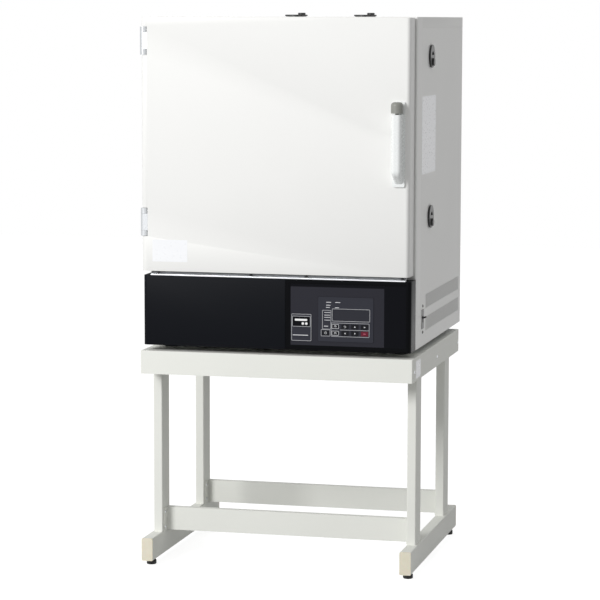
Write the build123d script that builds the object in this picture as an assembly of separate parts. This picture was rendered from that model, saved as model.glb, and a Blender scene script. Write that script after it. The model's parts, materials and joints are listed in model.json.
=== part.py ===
from build123d import *
import math
import os

# Forced-air drying oven on its stand, in millimetres, +Z up, with the door towards -Y.
# x is counted from the middle of the casing, y from the casing's front face to the rear and
# z from the floor. save() moves every piece along y, so that the origin is on the floor
# under the middle of the whole oven.

# Fits
GAP = 0.3  # between pieces that move past each other
RUN = 0.05  # radial play of a turning shaft, pin or thread
LAP = 2.0  # how far a cutting shape runs past the face that it cuts

# Chamber, with the spaces round it that give the casing's size
CHAMBER_W = 600.0
CHAMBER_D = 500.0
CHAMBER_H = 500.0
LINER_T = 1.0
LINER_FLANGE = 18.0
WOOL_T = 46.0
PLENUM_D = 54.0
SIDE_SPACE = 8.0
TOP_SPACE = 32.0
REAR_SPACE = 42.8
SILL = 89.3

# Casing
SHEET = 1.2
CASE_EDGE_R = 3.0
FRONT_BAND_D = 65.0
LID_SKIRT = 27.0
SIDE_RETURN = 8.0
REAR_RETURN = 16.0
REAR_MARGIN = 10.0
PAN_LIP = 14.0

# Stand
STAND_H = 574.0
TRAY_OVERHANG = 7.0
TRAY_D = 659.0
TRAY_T = 1.6
TRAY_SKIRT = 61.0
TRAY_LEAD = 69.0
TOP_RAIL_H = 40.0
FOOT_RAIL_W = 30.0
FOOT_RAIL_H = 60.0
FOOT_RAIL_INSET_X = 1.0
FOOT_RAIL_INSET_FRONT = 2.7
FOOT_RAIL_INSET_REAR = 14.3
FLOOR_CLEARANCE = 15.5
TUBE_T = 2.0
TUBE_R = 3.0
LEG_W = 24.0
LEG_D = 66.0
LEG_INSET_FRONT = 123.6
LEG_INSET_REAR = 138.6
CROSS_H = 62.0
CROSS_T = 2.0
CROSS_FLANGE = 18.0
CROSS_TAB = 30.0
CROSS_SETBACK = 3.4
CAP_T = 4.0
CAP_PLUG = 12.0
PAD_D = 26.0
PAD_H = 12.0
PAD_BEVEL = 1.5
PAD_INSET = 36.3
STEM_D = 10.0
STEM_L = 34.0
NUT_AF = 17.0
OVEN_FOOT_D = 36.0
OVEN_FOOT_H = 15.0
OVEN_FOOT_BEVEL = 2.0
OVEN_FOOT_INSET_X = 44.0
OVEN_FOOT_INSET_Y = 42.0

# Door
DOOR_LATCH_INSET = 5.5
DOOR_FLOOR_GAP = 5.3
DOOR_T = 58.0
DOOR_STANDOFF = 6.0
DOOR_OVERHANG = 5.0
DOOR_TOP_DROP = 2.0
DOOR_SHEET = 1.2
DOOR_HINGE_EDGE_R = 16.0
DOOR_LATCH_EDGE_R = 10.0
PANEL_LIP = 4.0
PLUG_SIDE = 12.0
PLUG_REACH = 12.0
PLUG_R = 4.0
GASKET_W = 14.0
GASKET_OUT = 18.0
GASKET_R = 20.0

# Door hinges, axis vertical
HINGE_AXIS_INSET = 2.0
HINGE_R = 10.0
HINGE_PIN_R = 4.0
HINGE_H = 72.0
HINGE_EAR_H = 14.0
HINGE_TOP_INSET = 24.0
HINGE_LOW_INSET = 91.0
HINGE_PLATE_T = 3.0
HINGE_POCKET_GAP = 1.0

# Door handle, its thumb button and the catch behind the door
HANDLE_INSET = 27.5
HANDLE_W = 25.0
HANDLE_REACH = 43.0
HANDLE_BACK_T = 6.0
HANDLE_BACK_MARGIN = 3.0
HANDLE_BACK_R = 4.0
HANDLE_RISE = 253.0
HANDLE_H = 160.0
HANDLE_FRONT_R = 9.0
HANDLE_TOE = 20.0
HANDLE_SEAM_W = 1.0
HANDLE_SEAM_DEPTH = 0.8
GRIP_T = 15.0
GRIP_WALL = 5.0
GRIP_END = 24.0
BUTTON_D = 31.0
BUTTON_H = 29.0
BUTTON_OVERHANG = 1.5
BUTTON_TRAVEL = 3.0
BUTTON_STEM_D = 9.0
BUTTON_STEM_L = 22.0
BUTTON_DOME_R = 9.0
CATCH_W = 8.0
CATCH_H = 22.0
CATCH_OFFSET = 8.0
CATCH_REACH = 10.0
CATCH_NOSE = 3.0
CATCH_ROOM = 2.0

# Control housing under the door
BEZEL_H = 182.7
BEZEL_D = 62.0
BEZEL_WALL = 2.5
BEZEL_R = 10.0
SPLIT_OFFSET = 14.1
SPLIT_W = 0.8
SPLIT_DEPTH = 1.0
PLATE_MARGIN = 13.0
PLATE_W = 302.0
PLATE_RISE = 12.5
PLATE_H = 158.0
PLATE_T = 2.0
PLATE_LEDGE = 4.0
FIELD_PROUD = 1.0
FIELD_R = 3.0
DISPLAY_OFFSET = 73.0
DISPLAY_W = 145.5
DISPLAY_RISE = 11.5
DISPLAY_H = 115.5
WINDOW_OFFSET = 38.0
WINDOW_W = 97.0
WINDOW_RISE = 54.3
WINDOW_H = 30.0
WINDOW_LIP = 2.0
WINDOW_LIP_T = 1.0
WINDOW_T = 2.6
SETTER_OFFSET = 2.6
SETTER_W = 53.0
SETTER_RISE = 11.2
SETTER_H = 70.0
SETTER_VIEW_W = 46.0
SETTER_VIEW_H = 25.0
SETTER_VIEW_RISE = 38.0
SETTER_VIEW_DEPTH = 0.8
KEY_W = 20.0
KEY_H = 13.0
KEY_OFFSET = 20.0
KEY_PITCH_X = 25.6
KEY_PITCH_Z = 17.2
KEY_RISE = 22.5
KEY_EDGE_R = 0.3
KEY_PROUD = 0.6
KEY_TRAVEL = 0.5
KEY_FLANGE = 1.0
KEY_FLANGE_T = 1.0
KEY_STEM_R = 2.0
KEY_STEM_L = 2.0
BOARD_T = 1.6
BOARD_BACK = 7.0
BOARD_MARGIN_X = 12.0
BOARD_MARGIN_Z = 6.0
SWITCH_W = 6.0
POST_R = 3.0
CORE_W = 60.0
CORE_D = 34.0
CORE_H = 50.0
RELAY_W = 30.0
RELAY_D = 20.0
RELAY_H = 26.0

# Bright strip between the housing and the door
STRIP_INSET_LEFT = 20.0
STRIP_INSET_RIGHT = 15.0
STRIP_D = 16.0
STRIP_LOW = 3.0
STRIP_HIGH = 6.0
STRIP_SLOPE = 11.0
STRIP_SCREW_INSET_LEFT = 20.0
STRIP_SCREW_INSET_RIGHT = 8.6
STRIP_SCREWS_MIDDLE = (-66.5, 79.6)

# Fan, heater and duct
IMPELLER_R = 88.0
IMPELLER_W = 38.0
IMPELLER_EYE_R = 60.0
IMPELLER_GAP = 6.0
BLADES = 24
BLADE_T = 1.2
BLADE_ROOT_R = 62.0
BLADE_SWEEP = 14.0
DISC_T = 1.5
HUB_R = 14.0
HUB_L = 22.0
SHAFT_R = 5.0
SHAFT_HOLE_R = 12.0
MOTOR_R = 55.0
MOTOR_L = 70.0
MOTOR_FLANGE_R = 68.0
MOTOR_FLANGE_T = 4.0
MOTOR_RIBS = 4
MOTOR_RIB_PITCH = 12.6
MOTOR_RIB_START = 17.5
MOTOR_BORE_L = 40.0
COVER_W = 190.0
COVER_H = 190.0
COVER_D = 60.0
HEATER_R = 116.0
HEATER_TUBE_R = 4.0
HEATER_ARC = 300.0
HEATER_TAIL = 14.0
INTAKE_R = 72.0
INTAKE_SLOT = 8.0
INTAKE_PITCH = 15.0
OUTLET_SLOT_W = 7.0
OUTLET_SLOT_H = 30.0
OUTLET_PITCH = 44.0
OUTLET_INSETS = (68.0, 38.0)
OUTLET_ROWS = 10
PROBE_R = 3.0
PROBE_X = 90.0
PROBE_DROP = 34.0
PROBE_REACH = 26.0
PROBE_HEAD_R = 7.0
PROBE_HEAD_L = 12.0

# Shelves
UPRIGHT_W = 22.0
UPRIGHT_D = 10.0
UPRIGHT_T = 1.2
UPRIGHT_INSET = 80.0
UPRIGHT_END_GAP = 12.0
UPRIGHT_SLOT_W = 12.0
UPRIGHT_SLOT_H = 5.0
UPRIGHT_SLOT_PITCH = 30.0
SHELF_SLOTS = (4, 10)
SHELF_SIDE_GAP = 14.0
SHELF_FRONT_GAP = 22.0
SHELF_REAR_GAP = 35.0
SHELF_BARS = 2
SHELF_RIM_R = 3.0
SHELF_WIRE_R = 1.6
SHELF_WIRE_PITCH = 24.0
SHELF_CORNER_R = 22.0
SHELF_CROSS_R = 2.5
CLIP_W = 10.0
CLIP_T = 2.0
CLIP_REACH = 16.0
CLIP_TONGUE = 3.0
CLIP_LEG = 14.0

# Exhaust ports with turning caps
PORT_BORE_R = 15.0
PORT_TUBE_T = 1.5
PORT_RING_R = 27.0
PORT_RING_T = 1.5
PORT_CAP_R = 30.0
PORT_CAP_T = 4.0
PORT_CAP_BEVEL = 1.0
PORT_CAP_ROOF = 1.2
PORT_KNOB_R = 10.0
PORT_KNOB_H = 5.0
PORT_KNOB_EDGE_R = 1.5
PORT_KNOB_OFFSET = 15.0
PORT_PIN_R = 3.0
PORT_WINDOW_R = 13.0
SIDE_PORT_Y = 180.0
SIDE_PORT_TOP_DROP = 22.0
SIDE_PORT_RISE = 60.0
TOP_PORT_Y = 250.0
TOP_PORTS_X = (-23.4, 164.5)

# Breaker in the right side
BREAKER_Y = 94.0
BREAKER_W = 27.5
BREAKER_RISE = 70.6
BREAKER_H = 50.5
BREAKER_DEPTH = 58.0
BREAKER_EAR_H = 18.0
BREAKER_EAR_T = 3.0
BREAKER_PROUD = 1.0
LEVER_W = 9.0
LEVER_HUB_R = 5.0
LEVER_L = 15.0
LEVER_T = 4.0
LEVER_LEAN = 18.0
LEVER_PIN_R = 1.5
LEVER_PIN_L = 3.0
LEVER_SLOT_H = 18.0
LEVER_SLOT_DEPTH = 17.0
LEVER_SLOT_ROOM = 2.0

# Side grilles
GRILLE_INSET_FRONT = 133.0
GRILLE_INSET_REAR = 33.0
GRILLE_H = 36.5
GRILLE_RISES = (36.0, 95.0)
GRILLE_SLOT = 4.0
GRILLE_PITCH = 8.0

# Rear vents, base vents, gland and screws
VENT_SLOT_L = 60.0
VENT_SLOT_H = 5.0
VENT_PITCH = 12.0
VENT_ROWS = 5
VENT_X = 200.0
VENT_RISE = 60.0
BASE_SLOT_L = 200.0
BASE_SLOT_W = 10.0
BASE_SLOT_PITCH = 40.0
BASE_SLOTS = 4
GLAND_INSET = 85.0
GLAND_RISE = 50.0
GLAND_BEVEL = 2.0
GLAND_R = 12.0
GLAND_NUT_AF = 27.0
GLAND_NUT_T = 6.0
GLAND_L = 24.0
GLAND_BORE_R = 4.5
SCREW_R = 4.0
SCREW_TIP_R = 2.6
SCREW_H = 2.2
SKIRT_SCREW_INSET_FRONT = 26.0
SKIRT_SCREW_INSET_REAR = 15.0
SKIRT_SCREW_RISE = 26.0
TAB_SCREW_INSET = 11.0
REAR_SCREW_INSET = 5.0
REAR_SCREW_END = 24.0
REAR_SCREWS = 4

# Levels and places that follow from the sizes above
CASE_W = CHAMBER_W + 2 * (LINER_T + WOOL_T + SIDE_SPACE)
CASE_D = SHEET + CHAMBER_D + PLENUM_D + 2 * LINER_T + WOOL_T + REAR_SPACE
CHAMBER_RISE = BEZEL_H + SILL
CASE_H = CHAMBER_RISE + CHAMBER_H + LINER_T + WOOL_T + TOP_SPACE
HALF_W = CASE_W / 2
CASE_Z0 = STAND_H + OVEN_FOOT_H
CASE_Z1 = CASE_Z0 + CASE_H
PANEL_Z1 = CASE_Z1 - LID_SKIRT
CHAMBER_Z0 = CASE_Z0 + CHAMBER_RISE
CHAMBER_Z1 = CHAMBER_Z0 + CHAMBER_H
CHAMBER_MID_Z = (CHAMBER_Z0 + CHAMBER_Z1) / 2
HALF_CHAMBER = CHAMBER_W / 2
CHAMBER_Y0 = SHEET
DUCT_Y = CHAMBER_Y0 + CHAMBER_D
LINER_Y1 = DUCT_Y + LINER_T + PLENUM_D
WOOL_Y1 = LINER_Y1 + LINER_T + WOOL_T
WOOL_X = HALF_CHAMBER + LINER_T + WOOL_T
WOOL_Z0 = CHAMBER_Z0 - LINER_T - WOOL_T
WOOL_Z1 = CHAMBER_Z1 + LINER_T + WOOL_T
REAR_Y = CASE_D + SHEET
BULKHEAD_Y1 = WOOL_Y1 + SHEET
DOOR_Y1 = -DOOR_STANDOFF
DOOR_Y0 = DOOR_Y1 - DOOR_T
BEZEL_Y0 = -BEZEL_D
BEZEL_Z1 = CASE_Z0 + BEZEL_H
DOOR_X0 = -HALF_W - DOOR_OVERHANG
DOOR_X1 = HALF_W - DOOR_LATCH_INSET
DOOR_Z0 = BEZEL_Z1 + STRIP_HIGH + DOOR_FLOOR_GAP
DOOR_Z1 = CASE_Z1 - DOOR_TOP_DROP
HINGE_X = HALF_W - HINGE_AXIS_INSET
HINGE_Y = DOOR_Y0 + HINGE_R
HINGE_LEVELS = [DOOR_Z1 - HINGE_TOP_INSET - HINGE_H, DOOR_Z0 + HINGE_LOW_INSET]
POCKET_X1 = -HINGE_X + HINGE_R + HINGE_POCKET_GAP
HANDLE_X = DOOR_X1 - HANDLE_INSET
HANDLE_Z0 = DOOR_Z0 + HANDLE_RISE
CATCH_X = HANDLE_X + CATCH_OFFSET
CATCH_Z = HANDLE_Z0 + HANDLE_H / 2
PLATE_X = HALF_W - PLATE_MARGIN - PLATE_W
PLATE_Z0 = CASE_Z0 + PLATE_RISE
DISPLAY_X = PLATE_X + DISPLAY_OFFSET
DISPLAY_Z0 = PLATE_Z0 + DISPLAY_RISE
WINDOW_X = DISPLAY_X + WINDOW_OFFSET
WINDOW_Z0 = DISPLAY_Z0 + WINDOW_RISE
SETTER_X = PLATE_X + SETTER_OFFSET
SETTER_Z0 = PLATE_Z0 + SETTER_RISE
STRIP_XS = (STRIP_INSET_LEFT - HALF_W, HALF_W - STRIP_INSET_RIGHT)
TRAY_W = CASE_W + 2 * TRAY_OVERHANG
TRAY_YS = (-TRAY_LEAD, TRAY_D - TRAY_LEAD)
RAIL_Z0 = FLOOR_CLEARANCE
RAIL_Z1 = RAIL_Z0 + FOOT_RAIL_H
RAIL_OUTER_X = TRAY_W / 2 - FOOT_RAIL_INSET_X
RAIL_INNER_X = RAIL_OUTER_X - FOOT_RAIL_W
RAIL_YS = (TRAY_YS[0] + FOOT_RAIL_INSET_FRONT, TRAY_YS[1] - FOOT_RAIL_INSET_REAR)
LEG_TOP = STAND_H - TRAY_T - TOP_RAIL_H
LEGS_Y = (TRAY_YS[0] + LEG_INSET_FRONT, TRAY_YS[1] - LEG_INSET_REAR)
PADS_Y = (RAIL_YS[0] + PAD_INSET, RAIL_YS[1] - PAD_INSET)
PAD_X = RAIL_INNER_X + FOOT_RAIL_W / 2
OVEN_FEET_X = (OVEN_FOOT_INSET_X - HALF_W, HALF_W - OVEN_FOOT_INSET_X)
OVEN_FEET_Y = (OVEN_FOOT_INSET_Y, min(TRAY_YS[1], CASE_D) - OVEN_FOOT_INSET_Y)
GRILLE_YS = (GRILLE_INSET_FRONT, CASE_D - GRILLE_INSET_REAR)
PLENUM_MID_Y = DUCT_Y + LINER_T + IMPELLER_GAP + IMPELLER_W / 2
UPRIGHT_Z0 = CHAMBER_Z0 + UPRIGHT_END_GAP
UPRIGHT_Z1 = CHAMBER_Z1 - UPRIGHT_END_GAP
UPRIGHTS_Y = (CHAMBER_Y0 + UPRIGHT_INSET, CHAMBER_Y0 + CHAMBER_D - UPRIGHT_INSET)
SIDE_PORT_LEVELS = (CHAMBER_Z1 - SIDE_PORT_TOP_DROP, CHAMBER_Z0 + SIDE_PORT_RISE)
REACH_FRONT = -DOOR_Y0 + HANDLE_REACH
REACH_REAR = REAR_Y + COVER_D
CENTRE_Y = (REACH_REAR - REACH_FRONT) / 2


def save(name, *pieces):
    """Write one node, moved so that the oven's middle is over the origin."""
    solids = [solid for piece in pieces for solid in piece.solids()]
    moved = Pos(0, -CENTRE_Y, 0) * Compound(children=solids)
    export_step(moved, f"parts/{name}.step")


def block(x, y, z):
    """Box between a low and a high limit along each axis."""
    spans = (x, y, z)
    middle = [(low + high) / 2 for low, high in spans]
    size = [high - low for low, high in spans]
    return Pos(*middle) * Box(*size)


def rod(start, direction, radius, length):
    """Round bar that begins at a point and runs along a direction."""
    base = (Align.CENTER, Align.CENTER, Align.MIN)
    return Plane(origin=start, z_dir=direction) * Cylinder(radius, length, align=base)


def mirrored(shape):
    """The same piece on the other side of the oven."""
    return mirror(shape, about=Plane.YZ)


def rounded_plan(x, y, radii):
    """Rectangle in plan with a radius for each corner, from the front left one anticlockwise."""
    corners = [(x[0], y[0]), (x[1], y[0]), (x[1], y[1]), (x[0], y[1])]
    face = make_face(Polyline(*corners, close=True))
    for corner, radius in zip(corners, radii):
        if radius > 0:
            nearest = face.vertices().sort_by_distance(Vector(*corner, 0))[0]
            face = fillet(nearest, radius)
    return face


def upright(plan, z):
    """Plan shape raised between two levels."""
    return extrude(Pos(0, 0, z[0]) * plan, z[1] - z[0])


def side_rounded(x, y, z, radius):
    """Box with its four edges along y rounded."""
    box = block(x, y, z)
    return fillet(box.edges().filter_by(Axis.Y), radius)


def slots_along(count, pitch, make):
    """Evenly spaced copies of a cutting shape about a middle point."""
    first = -(count - 1) * pitch / 2
    return [make(first + index * pitch) for index in range(count)]


def span(middle, size):
    """Low and high limit about a middle."""
    return (middle - size / 2, middle + size / 2)


def within(limits, wall):
    """The same limits drawn in by a wall at both ends."""
    return (limits[0] + wall, limits[1] - wall)


def past(limits, lap=LAP):
    """The same limits with a cutting lap at both ends."""
    return (limits[0] - lap, limits[1] + lap)


def tube_y(x, y, z):
    """Rectangular steel tube along y with rounded outer edges."""
    return side_rounded(x, y, z, TUBE_R) - block(within(x, TUBE_T), past(y), within(z, TUBE_T))


def tube_z(x, y, z):
    """Upright rectangular steel tube with rounded outer edges."""
    outer = upright(rounded_plan(x, y, (TUBE_R,) * 4), z)
    return outer - block(within(x, TUBE_T), within(y, TUBE_T), past(z))


def hexagon(start, direction, across_flats, thickness):
    """Six-sided block that begins at a point, for nuts and collars."""
    outline = RegularPolygon(across_flats / 2, 6, major_radius=False)
    return Plane(origin=start, z_dir=direction) * extrude(outline, thickness)


def screw(seat, direction):
    """Low screw head that sits on a face."""
    base = (Align.CENTER, Align.CENTER, Align.MIN)
    return Plane(origin=seat, z_dir=direction) * Cone(SCREW_R, SCREW_TIP_R, SCREW_H, align=base)


# Stand

def stand_tray():
    """Folded top tray that the oven's feet stand on."""
    x = span(0, TRAY_W)
    z = (STAND_H - TRAY_SKIRT, STAND_H)
    outer = upright(rounded_plan(x, TRAY_YS, (CASE_EDGE_R,) * 4), z)
    outer = fillet(outer.faces().sort_by(Axis.Z)[-1].edges(), TRAY_T)
    return outer - block(within(x, TRAY_T), within(TRAY_YS, TRAY_T), (z[0] - LAP, z[1] - TRAY_T))


def stand_top_rail():
    """Right top rail, welded on the legs and hidden in the tray's skirt."""
    x = (RAIL_INNER_X, TRAY_W / 2 - TRAY_T)
    return tube_y(x, within(TRAY_YS, TRAY_T), (LEG_TOP, LEG_TOP + TOP_RAIL_H))


def stand_leg(y_mid):
    """Right leg between its foot rail and its top rail."""
    return tube_z((RAIL_INNER_X, RAIL_INNER_X + LEG_W), span(y_mid, LEG_D), (RAIL_Z1, LEG_TOP))


def stand_foot_rail():
    """Right foot rail with a threaded insert over each levelling foot."""
    rail = tube_y((RAIL_INNER_X, RAIL_OUTER_X), RAIL_YS, (RAIL_Z0, RAIL_Z1))
    for y in PADS_Y:
        seat = (PAD_X, y, RAIL_Z0 + TUBE_T)
        rail += rod(seat, (0, 0, 1), STEM_D, STEM_D)
        rail -= rod((PAD_X, y, RAIL_Z0 - LAP), (0, 0, 1), STEM_D / 2 + RUN, STEM_L + LAP)
    return rail


def rail_cap(end):
    """Moulded cap pressed into one end of the right foot rail; end is -1 in front and 1 behind."""
    y_face = RAIL_YS[0] if end < 0 else RAIL_YS[1]
    outer = sorted((y_face, y_face + end * CAP_T))
    inner = sorted((y_face, y_face - end * CAP_PLUG))
    x = (RAIL_INNER_X, RAIL_OUTER_X)
    z = (RAIL_Z0, RAIL_Z1)
    cap = side_rounded(x, outer, z, TUBE_R)
    plug = block(within(x, TUBE_T), inner, within(z, TUBE_T))
    hollow = block(within(x, 2 * TUBE_T), inner, within(z, 2 * TUBE_T))
    return cap + (plug - hollow)


def cross_rail(y_leg):
    """Channel between the legs, with a tab bent forward at each end for its screws."""
    y_front = y_leg + CROSS_SETBACK
    half = RAIL_INNER_X
    z = (RAIL_Z1, RAIL_Z1 + CROSS_H)
    web = block((-half, half), (y_front, y_front + CROSS_T), z)
    rear = (y_front, y_front + CROSS_FLANGE)
    inner = half - CROSS_T
    top = block((-inner, inner), rear, (z[1] - CROSS_T, z[1]))
    bottom = block((-inner, inner), rear, (z[0], z[0] + CROSS_T))
    rail = web + top + bottom
    for side in (-1, 1):
        x = sorted((side * inner, side * half))
        rail += block(x, (y_front - CROSS_TAB, y_front), z)
    return rail


def levelling_foot(side, y):
    """Round pad on a threaded stem that turns in the foot rail, with its collar."""
    x = side * PAD_X
    pad = rod((x, y, 0), (0, 0, 1), PAD_D / 2, PAD_H)
    pad = chamfer(pad.edges(), PAD_BEVEL)
    collar = RAIL_Z0 - GAP - PAD_H
    neck = hexagon((x, y, PAD_H), (0, 0, 1), NUT_AF, collar)
    stem = rod((x, y, PAD_H), (0, 0, 1), STEM_D / 2, STEM_L)
    return pad + neck + stem


def oven_foot(x, y):
    """Low rubber foot between the casing and the stand's tray."""
    foot = rod((x, y, STAND_H), (0, 0, 1), OVEN_FOOT_D / 2, OVEN_FOOT_H)
    return chamfer(foot.edges().sort_by(Axis.Z)[0], OVEN_FOOT_BEVEL)


# Casing

def front_frame():
    """Folded front ring of the casing: the chamber's mouth, the cable opening and the catch's slot."""
    x = (-HALF_W, HALF_W)
    plan = rounded_plan(x, (0, FRONT_BAND_D), (CASE_EDGE_R, CASE_EDGE_R, 0, 0))
    outer = upright(plan, (CASE_Z0, CASE_Z1))
    hollow = block(
        (x[0] + SHEET, x[1] - SHEET),
        (SHEET, FRONT_BAND_D + LAP),
        (CASE_Z0 + SHEET, CASE_Z1 - SHEET),
    )
    cut_y = (-LAP, SHEET + LAP)
    mouth = block((-HALF_CHAMBER, HALF_CHAMBER), cut_y, (CHAMBER_Z0, CHAMBER_Z1))
    wiring = block(
        (x[0] + 2 * REAR_RETURN, x[1] - 2 * REAR_RETURN),
        cut_y,
        (CASE_Z0 + REAR_RETURN, BEZEL_Z1 - REAR_RETURN),
    )
    return outer - hollow - mouth - wiring - catch_room()


def side_cut():
    """Limits across the right side sheet for whatever is cut through it."""
    return past((HALF_W - SHEET, HALF_W))


def grille_cuts(rise):
    """Upright slots of one side grille."""
    count = round((GRILLE_YS[1] - GRILLE_YS[0]) / GRILLE_PITCH)
    middle = sum(GRILLE_YS) / 2
    z = (CASE_Z0 + rise, CASE_Z0 + rise + GRILLE_H)

    def slot(offset):
        return block(side_cut(), span(middle + offset, GRILLE_SLOT), z)

    return slots_along(count, GRILLE_PITCH, slot)


def plain_side():
    """Folded side sheet with its grilles, drawn for the right side."""
    y = (FRONT_BAND_D, CASE_D)
    plan = rounded_plan((HALF_W - REAR_RETURN, HALF_W), y, (0, 0, CASE_EDGE_R, 0))
    outer = upright(plan, (CASE_Z0, PANEL_Z1))
    hollow = block(
        (HALF_W - REAR_RETURN - LAP, HALF_W - SHEET),
        (y[0] + SHEET, y[1] - SHEET),
        (CASE_Z0 - LAP, PANEL_Z1 + LAP),
    )
    front_trim = block(
        (HALF_W - REAR_RETURN - LAP, HALF_W - SIDE_RETURN),
        (y[0] - LAP, y[0] + SHEET + LAP),
        (CASE_Z0 - LAP, PANEL_Z1 + LAP),
    )
    cuts = [cut for rise in GRILLE_RISES for cut in grille_cuts(rise)]
    return outer - hollow - front_trim - cuts


def side_panel_right():
    """Right side sheet, with the port holes and the breaker's cut-out."""
    panel = plain_side()
    for z in SIDE_PORT_LEVELS:
        panel -= rod((side_cut()[0], SIDE_PORT_Y, z), (1, 0, 0), port_hole_radius(), SHEET + 2 * LAP)
    cut_y = past(span(BREAKER_Y, BREAKER_W), GAP)
    cut_z = past(span(CASE_Z0 + BREAKER_RISE, BREAKER_H), GAP)
    return panel - block(side_cut(), cut_y, cut_z)


def top_cover():
    """Lid with a shallow skirt over the side sheets, open towards the front band."""
    plan = rounded_plan((-HALF_W, HALF_W), (FRONT_BAND_D, CASE_D), (0, 0, CASE_EDGE_R, CASE_EDGE_R))
    lid = upright(plan, (PANEL_Z1, CASE_Z1))
    lid -= block(
        (-HALF_W + SHEET, HALF_W - SHEET),
        (FRONT_BAND_D - LAP, CASE_D - SHEET),
        (PANEL_Z1 - LAP, CASE_Z1 - SHEET),
    )
    start = CASE_Z1 - SHEET - LAP
    for x in TOP_PORTS_X:
        lid -= rod((x, TOP_PORT_Y, start), (0, 0, 1), port_hole_radius(), SHEET + 2 * LAP)
    return lid


def rear_vents(side):
    """Rows of level slots low in the rear panel."""
    cuts = []
    x = span(side * VENT_X, VENT_SLOT_L)
    for row in range(VENT_ROWS):
        z = CASE_Z0 + VENT_RISE + row * VENT_PITCH
        cuts.append(block(x, past((CASE_D, REAR_Y)), (z, z + VENT_SLOT_H)))
    return cuts


def rear_panel():
    """Flat rear sheet over the returns of the side sheets, open round the fan motor."""
    half = HALF_W - REAR_MARGIN
    sheet = block((-half, half), (CASE_D, REAR_Y), (CASE_Z0 + REAR_MARGIN, PANEL_Z1 - SHEET))
    start = CASE_D - LAP
    depth = SHEET + 2 * LAP
    motor_hole = rod((0, start, CHAMBER_MID_Z), (0, 1, 0), MOTOR_FLANGE_R + LAP, depth)
    cable_hole = rod((gland_x(), start, CASE_Z0 + GLAND_RISE), (0, 1, 0), GLAND_BORE_R + LAP, depth)
    return sheet - motor_hole - cable_hole - rear_vents(-1) - rear_vents(1)


def base_pan():
    """Floor of the casing with upturned lips and air slots."""
    x = (-HALF_W + SHEET, HALF_W - SHEET)
    y = (FRONT_BAND_D, CASE_D - SHEET)
    pan = block(x, y, (CASE_Z0, CASE_Z0 + PAN_LIP))
    pan -= block(
        (x[0] + SHEET, x[1] - SHEET),
        (y[0] - LAP, y[1] - SHEET),
        (CASE_Z0 + SHEET, CASE_Z0 + PAN_LIP + LAP),
    )
    pan -= pan_notches()
    middle = sum(y) / 2
    through = past((CASE_Z0, CASE_Z0 + SHEET))

    def slot(offset):
        return block(span(0, BASE_SLOT_L), span(middle + offset, BASE_SLOT_W), through)

    return pan - slots_along(BASE_SLOTS, BASE_SLOT_PITCH, slot)


def pan_notches():
    """Room in the pan's corners for the returns of the side sheets."""
    notches = []
    z = past((CASE_Z0, CASE_Z0 + PAN_LIP))
    for side in (-1, 1):
        x_front = sorted((side * (HALF_W - SIDE_RETURN), side * HALF_W))
        notches.append(block(x_front, (FRONT_BAND_D - LAP, FRONT_BAND_D + SHEET), z))
    return notches


def inner_chassis():
    """Deck under the chamber and bulkhead behind it, which carry the chamber and the motor."""
    x = (-HALF_W + SHEET, HALF_W - SHEET)
    deck = block(x, (FRONT_BAND_D + SHEET, CASE_D - SHEET), (WOOL_Z0 - SHEET, WOOL_Z0))
    bulkhead = block((-WOOL_X, WOOL_X), (WOOL_Y1, BULKHEAD_Y1), (WOOL_Z0 - SHEET, WOOL_Z1))
    return deck + bulkhead - rear_service_cuts()


def rear_service_cuts():
    """Holes behind the chamber for the fan shaft, the heater's tails and the probes."""
    start = LINER_Y1 - LAP
    length = BULKHEAD_Y1 - LINER_Y1 + 2 * LAP
    cuts = [rod((0, start, CHAMBER_MID_Z), (0, 1, 0), SHAFT_HOLE_R, length)]
    for x, z in heater_tails():
        cuts.append(rod((x, start, z), (0, 1, 0), HEATER_TUBE_R + GAP, length))
    for x in (-PROBE_X, PROBE_X):
        cuts.append(rod((x, start, CHAMBER_Z1 - PROBE_DROP), (0, 1, 0), PROBE_R + GAP, length))
    return cuts


def chamber_liner():
    """Bright inner box of the chamber and plenum, with a turned flange round its mouth."""
    shell = block(
        (-HALF_CHAMBER - LINER_T, HALF_CHAMBER + LINER_T),
        (CHAMBER_Y0, LINER_Y1 + LINER_T),
        (CHAMBER_Z0 - LINER_T, CHAMBER_Z1 + LINER_T),
    )
    flange_x = HALF_CHAMBER + LINER_FLANGE
    flange = block(
        (-flange_x, flange_x),
        (CHAMBER_Y0, CHAMBER_Y0 + LINER_T),
        (CHAMBER_Z0 - LINER_FLANGE, CHAMBER_Z1 + LINER_FLANGE),
    )
    hollow = block((-HALF_CHAMBER, HALF_CHAMBER), (CHAMBER_Y0 - LAP, LINER_Y1), (CHAMBER_Z0, CHAMBER_Z1))
    return shell + flange - hollow - rear_service_cuts() - port_cuts()


def chamber_insulation():
    """Mineral wool round the liner."""
    y0 = CHAMBER_Y0 + LINER_T
    wool = block((-WOOL_X, WOOL_X), (y0, WOOL_Y1), (WOOL_Z0, WOOL_Z1))
    wool -= block(
        (-HALF_CHAMBER - LINER_T, HALF_CHAMBER + LINER_T),
        (y0 - LAP, LINER_Y1 + LINER_T),
        (CHAMBER_Z0 - LINER_T, CHAMBER_Z1 + LINER_T),
    )
    return wool - rear_service_cuts() - port_cuts() - catch_room()


# Exhaust ports

def port_tube_radius():
    """Outer radius of a port's tube."""
    return PORT_BORE_R + PORT_TUBE_T


def port_hole_radius():
    """Radius of the holes that a port's tube passes through."""
    return port_tube_radius() + GAP


def port_places():
    """Seat on the casing, outward direction and inner end of each port tube."""
    places = [((HALF_W, SIDE_PORT_Y, z), (1, 0, 0), HALF_W - HALF_CHAMBER) for z in SIDE_PORT_LEVELS]
    places += [((x, TOP_PORT_Y, CASE_Z1), (0, 0, 1), CASE_Z1 - CHAMBER_Z1) for x in TOP_PORTS_X]
    return places


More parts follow.
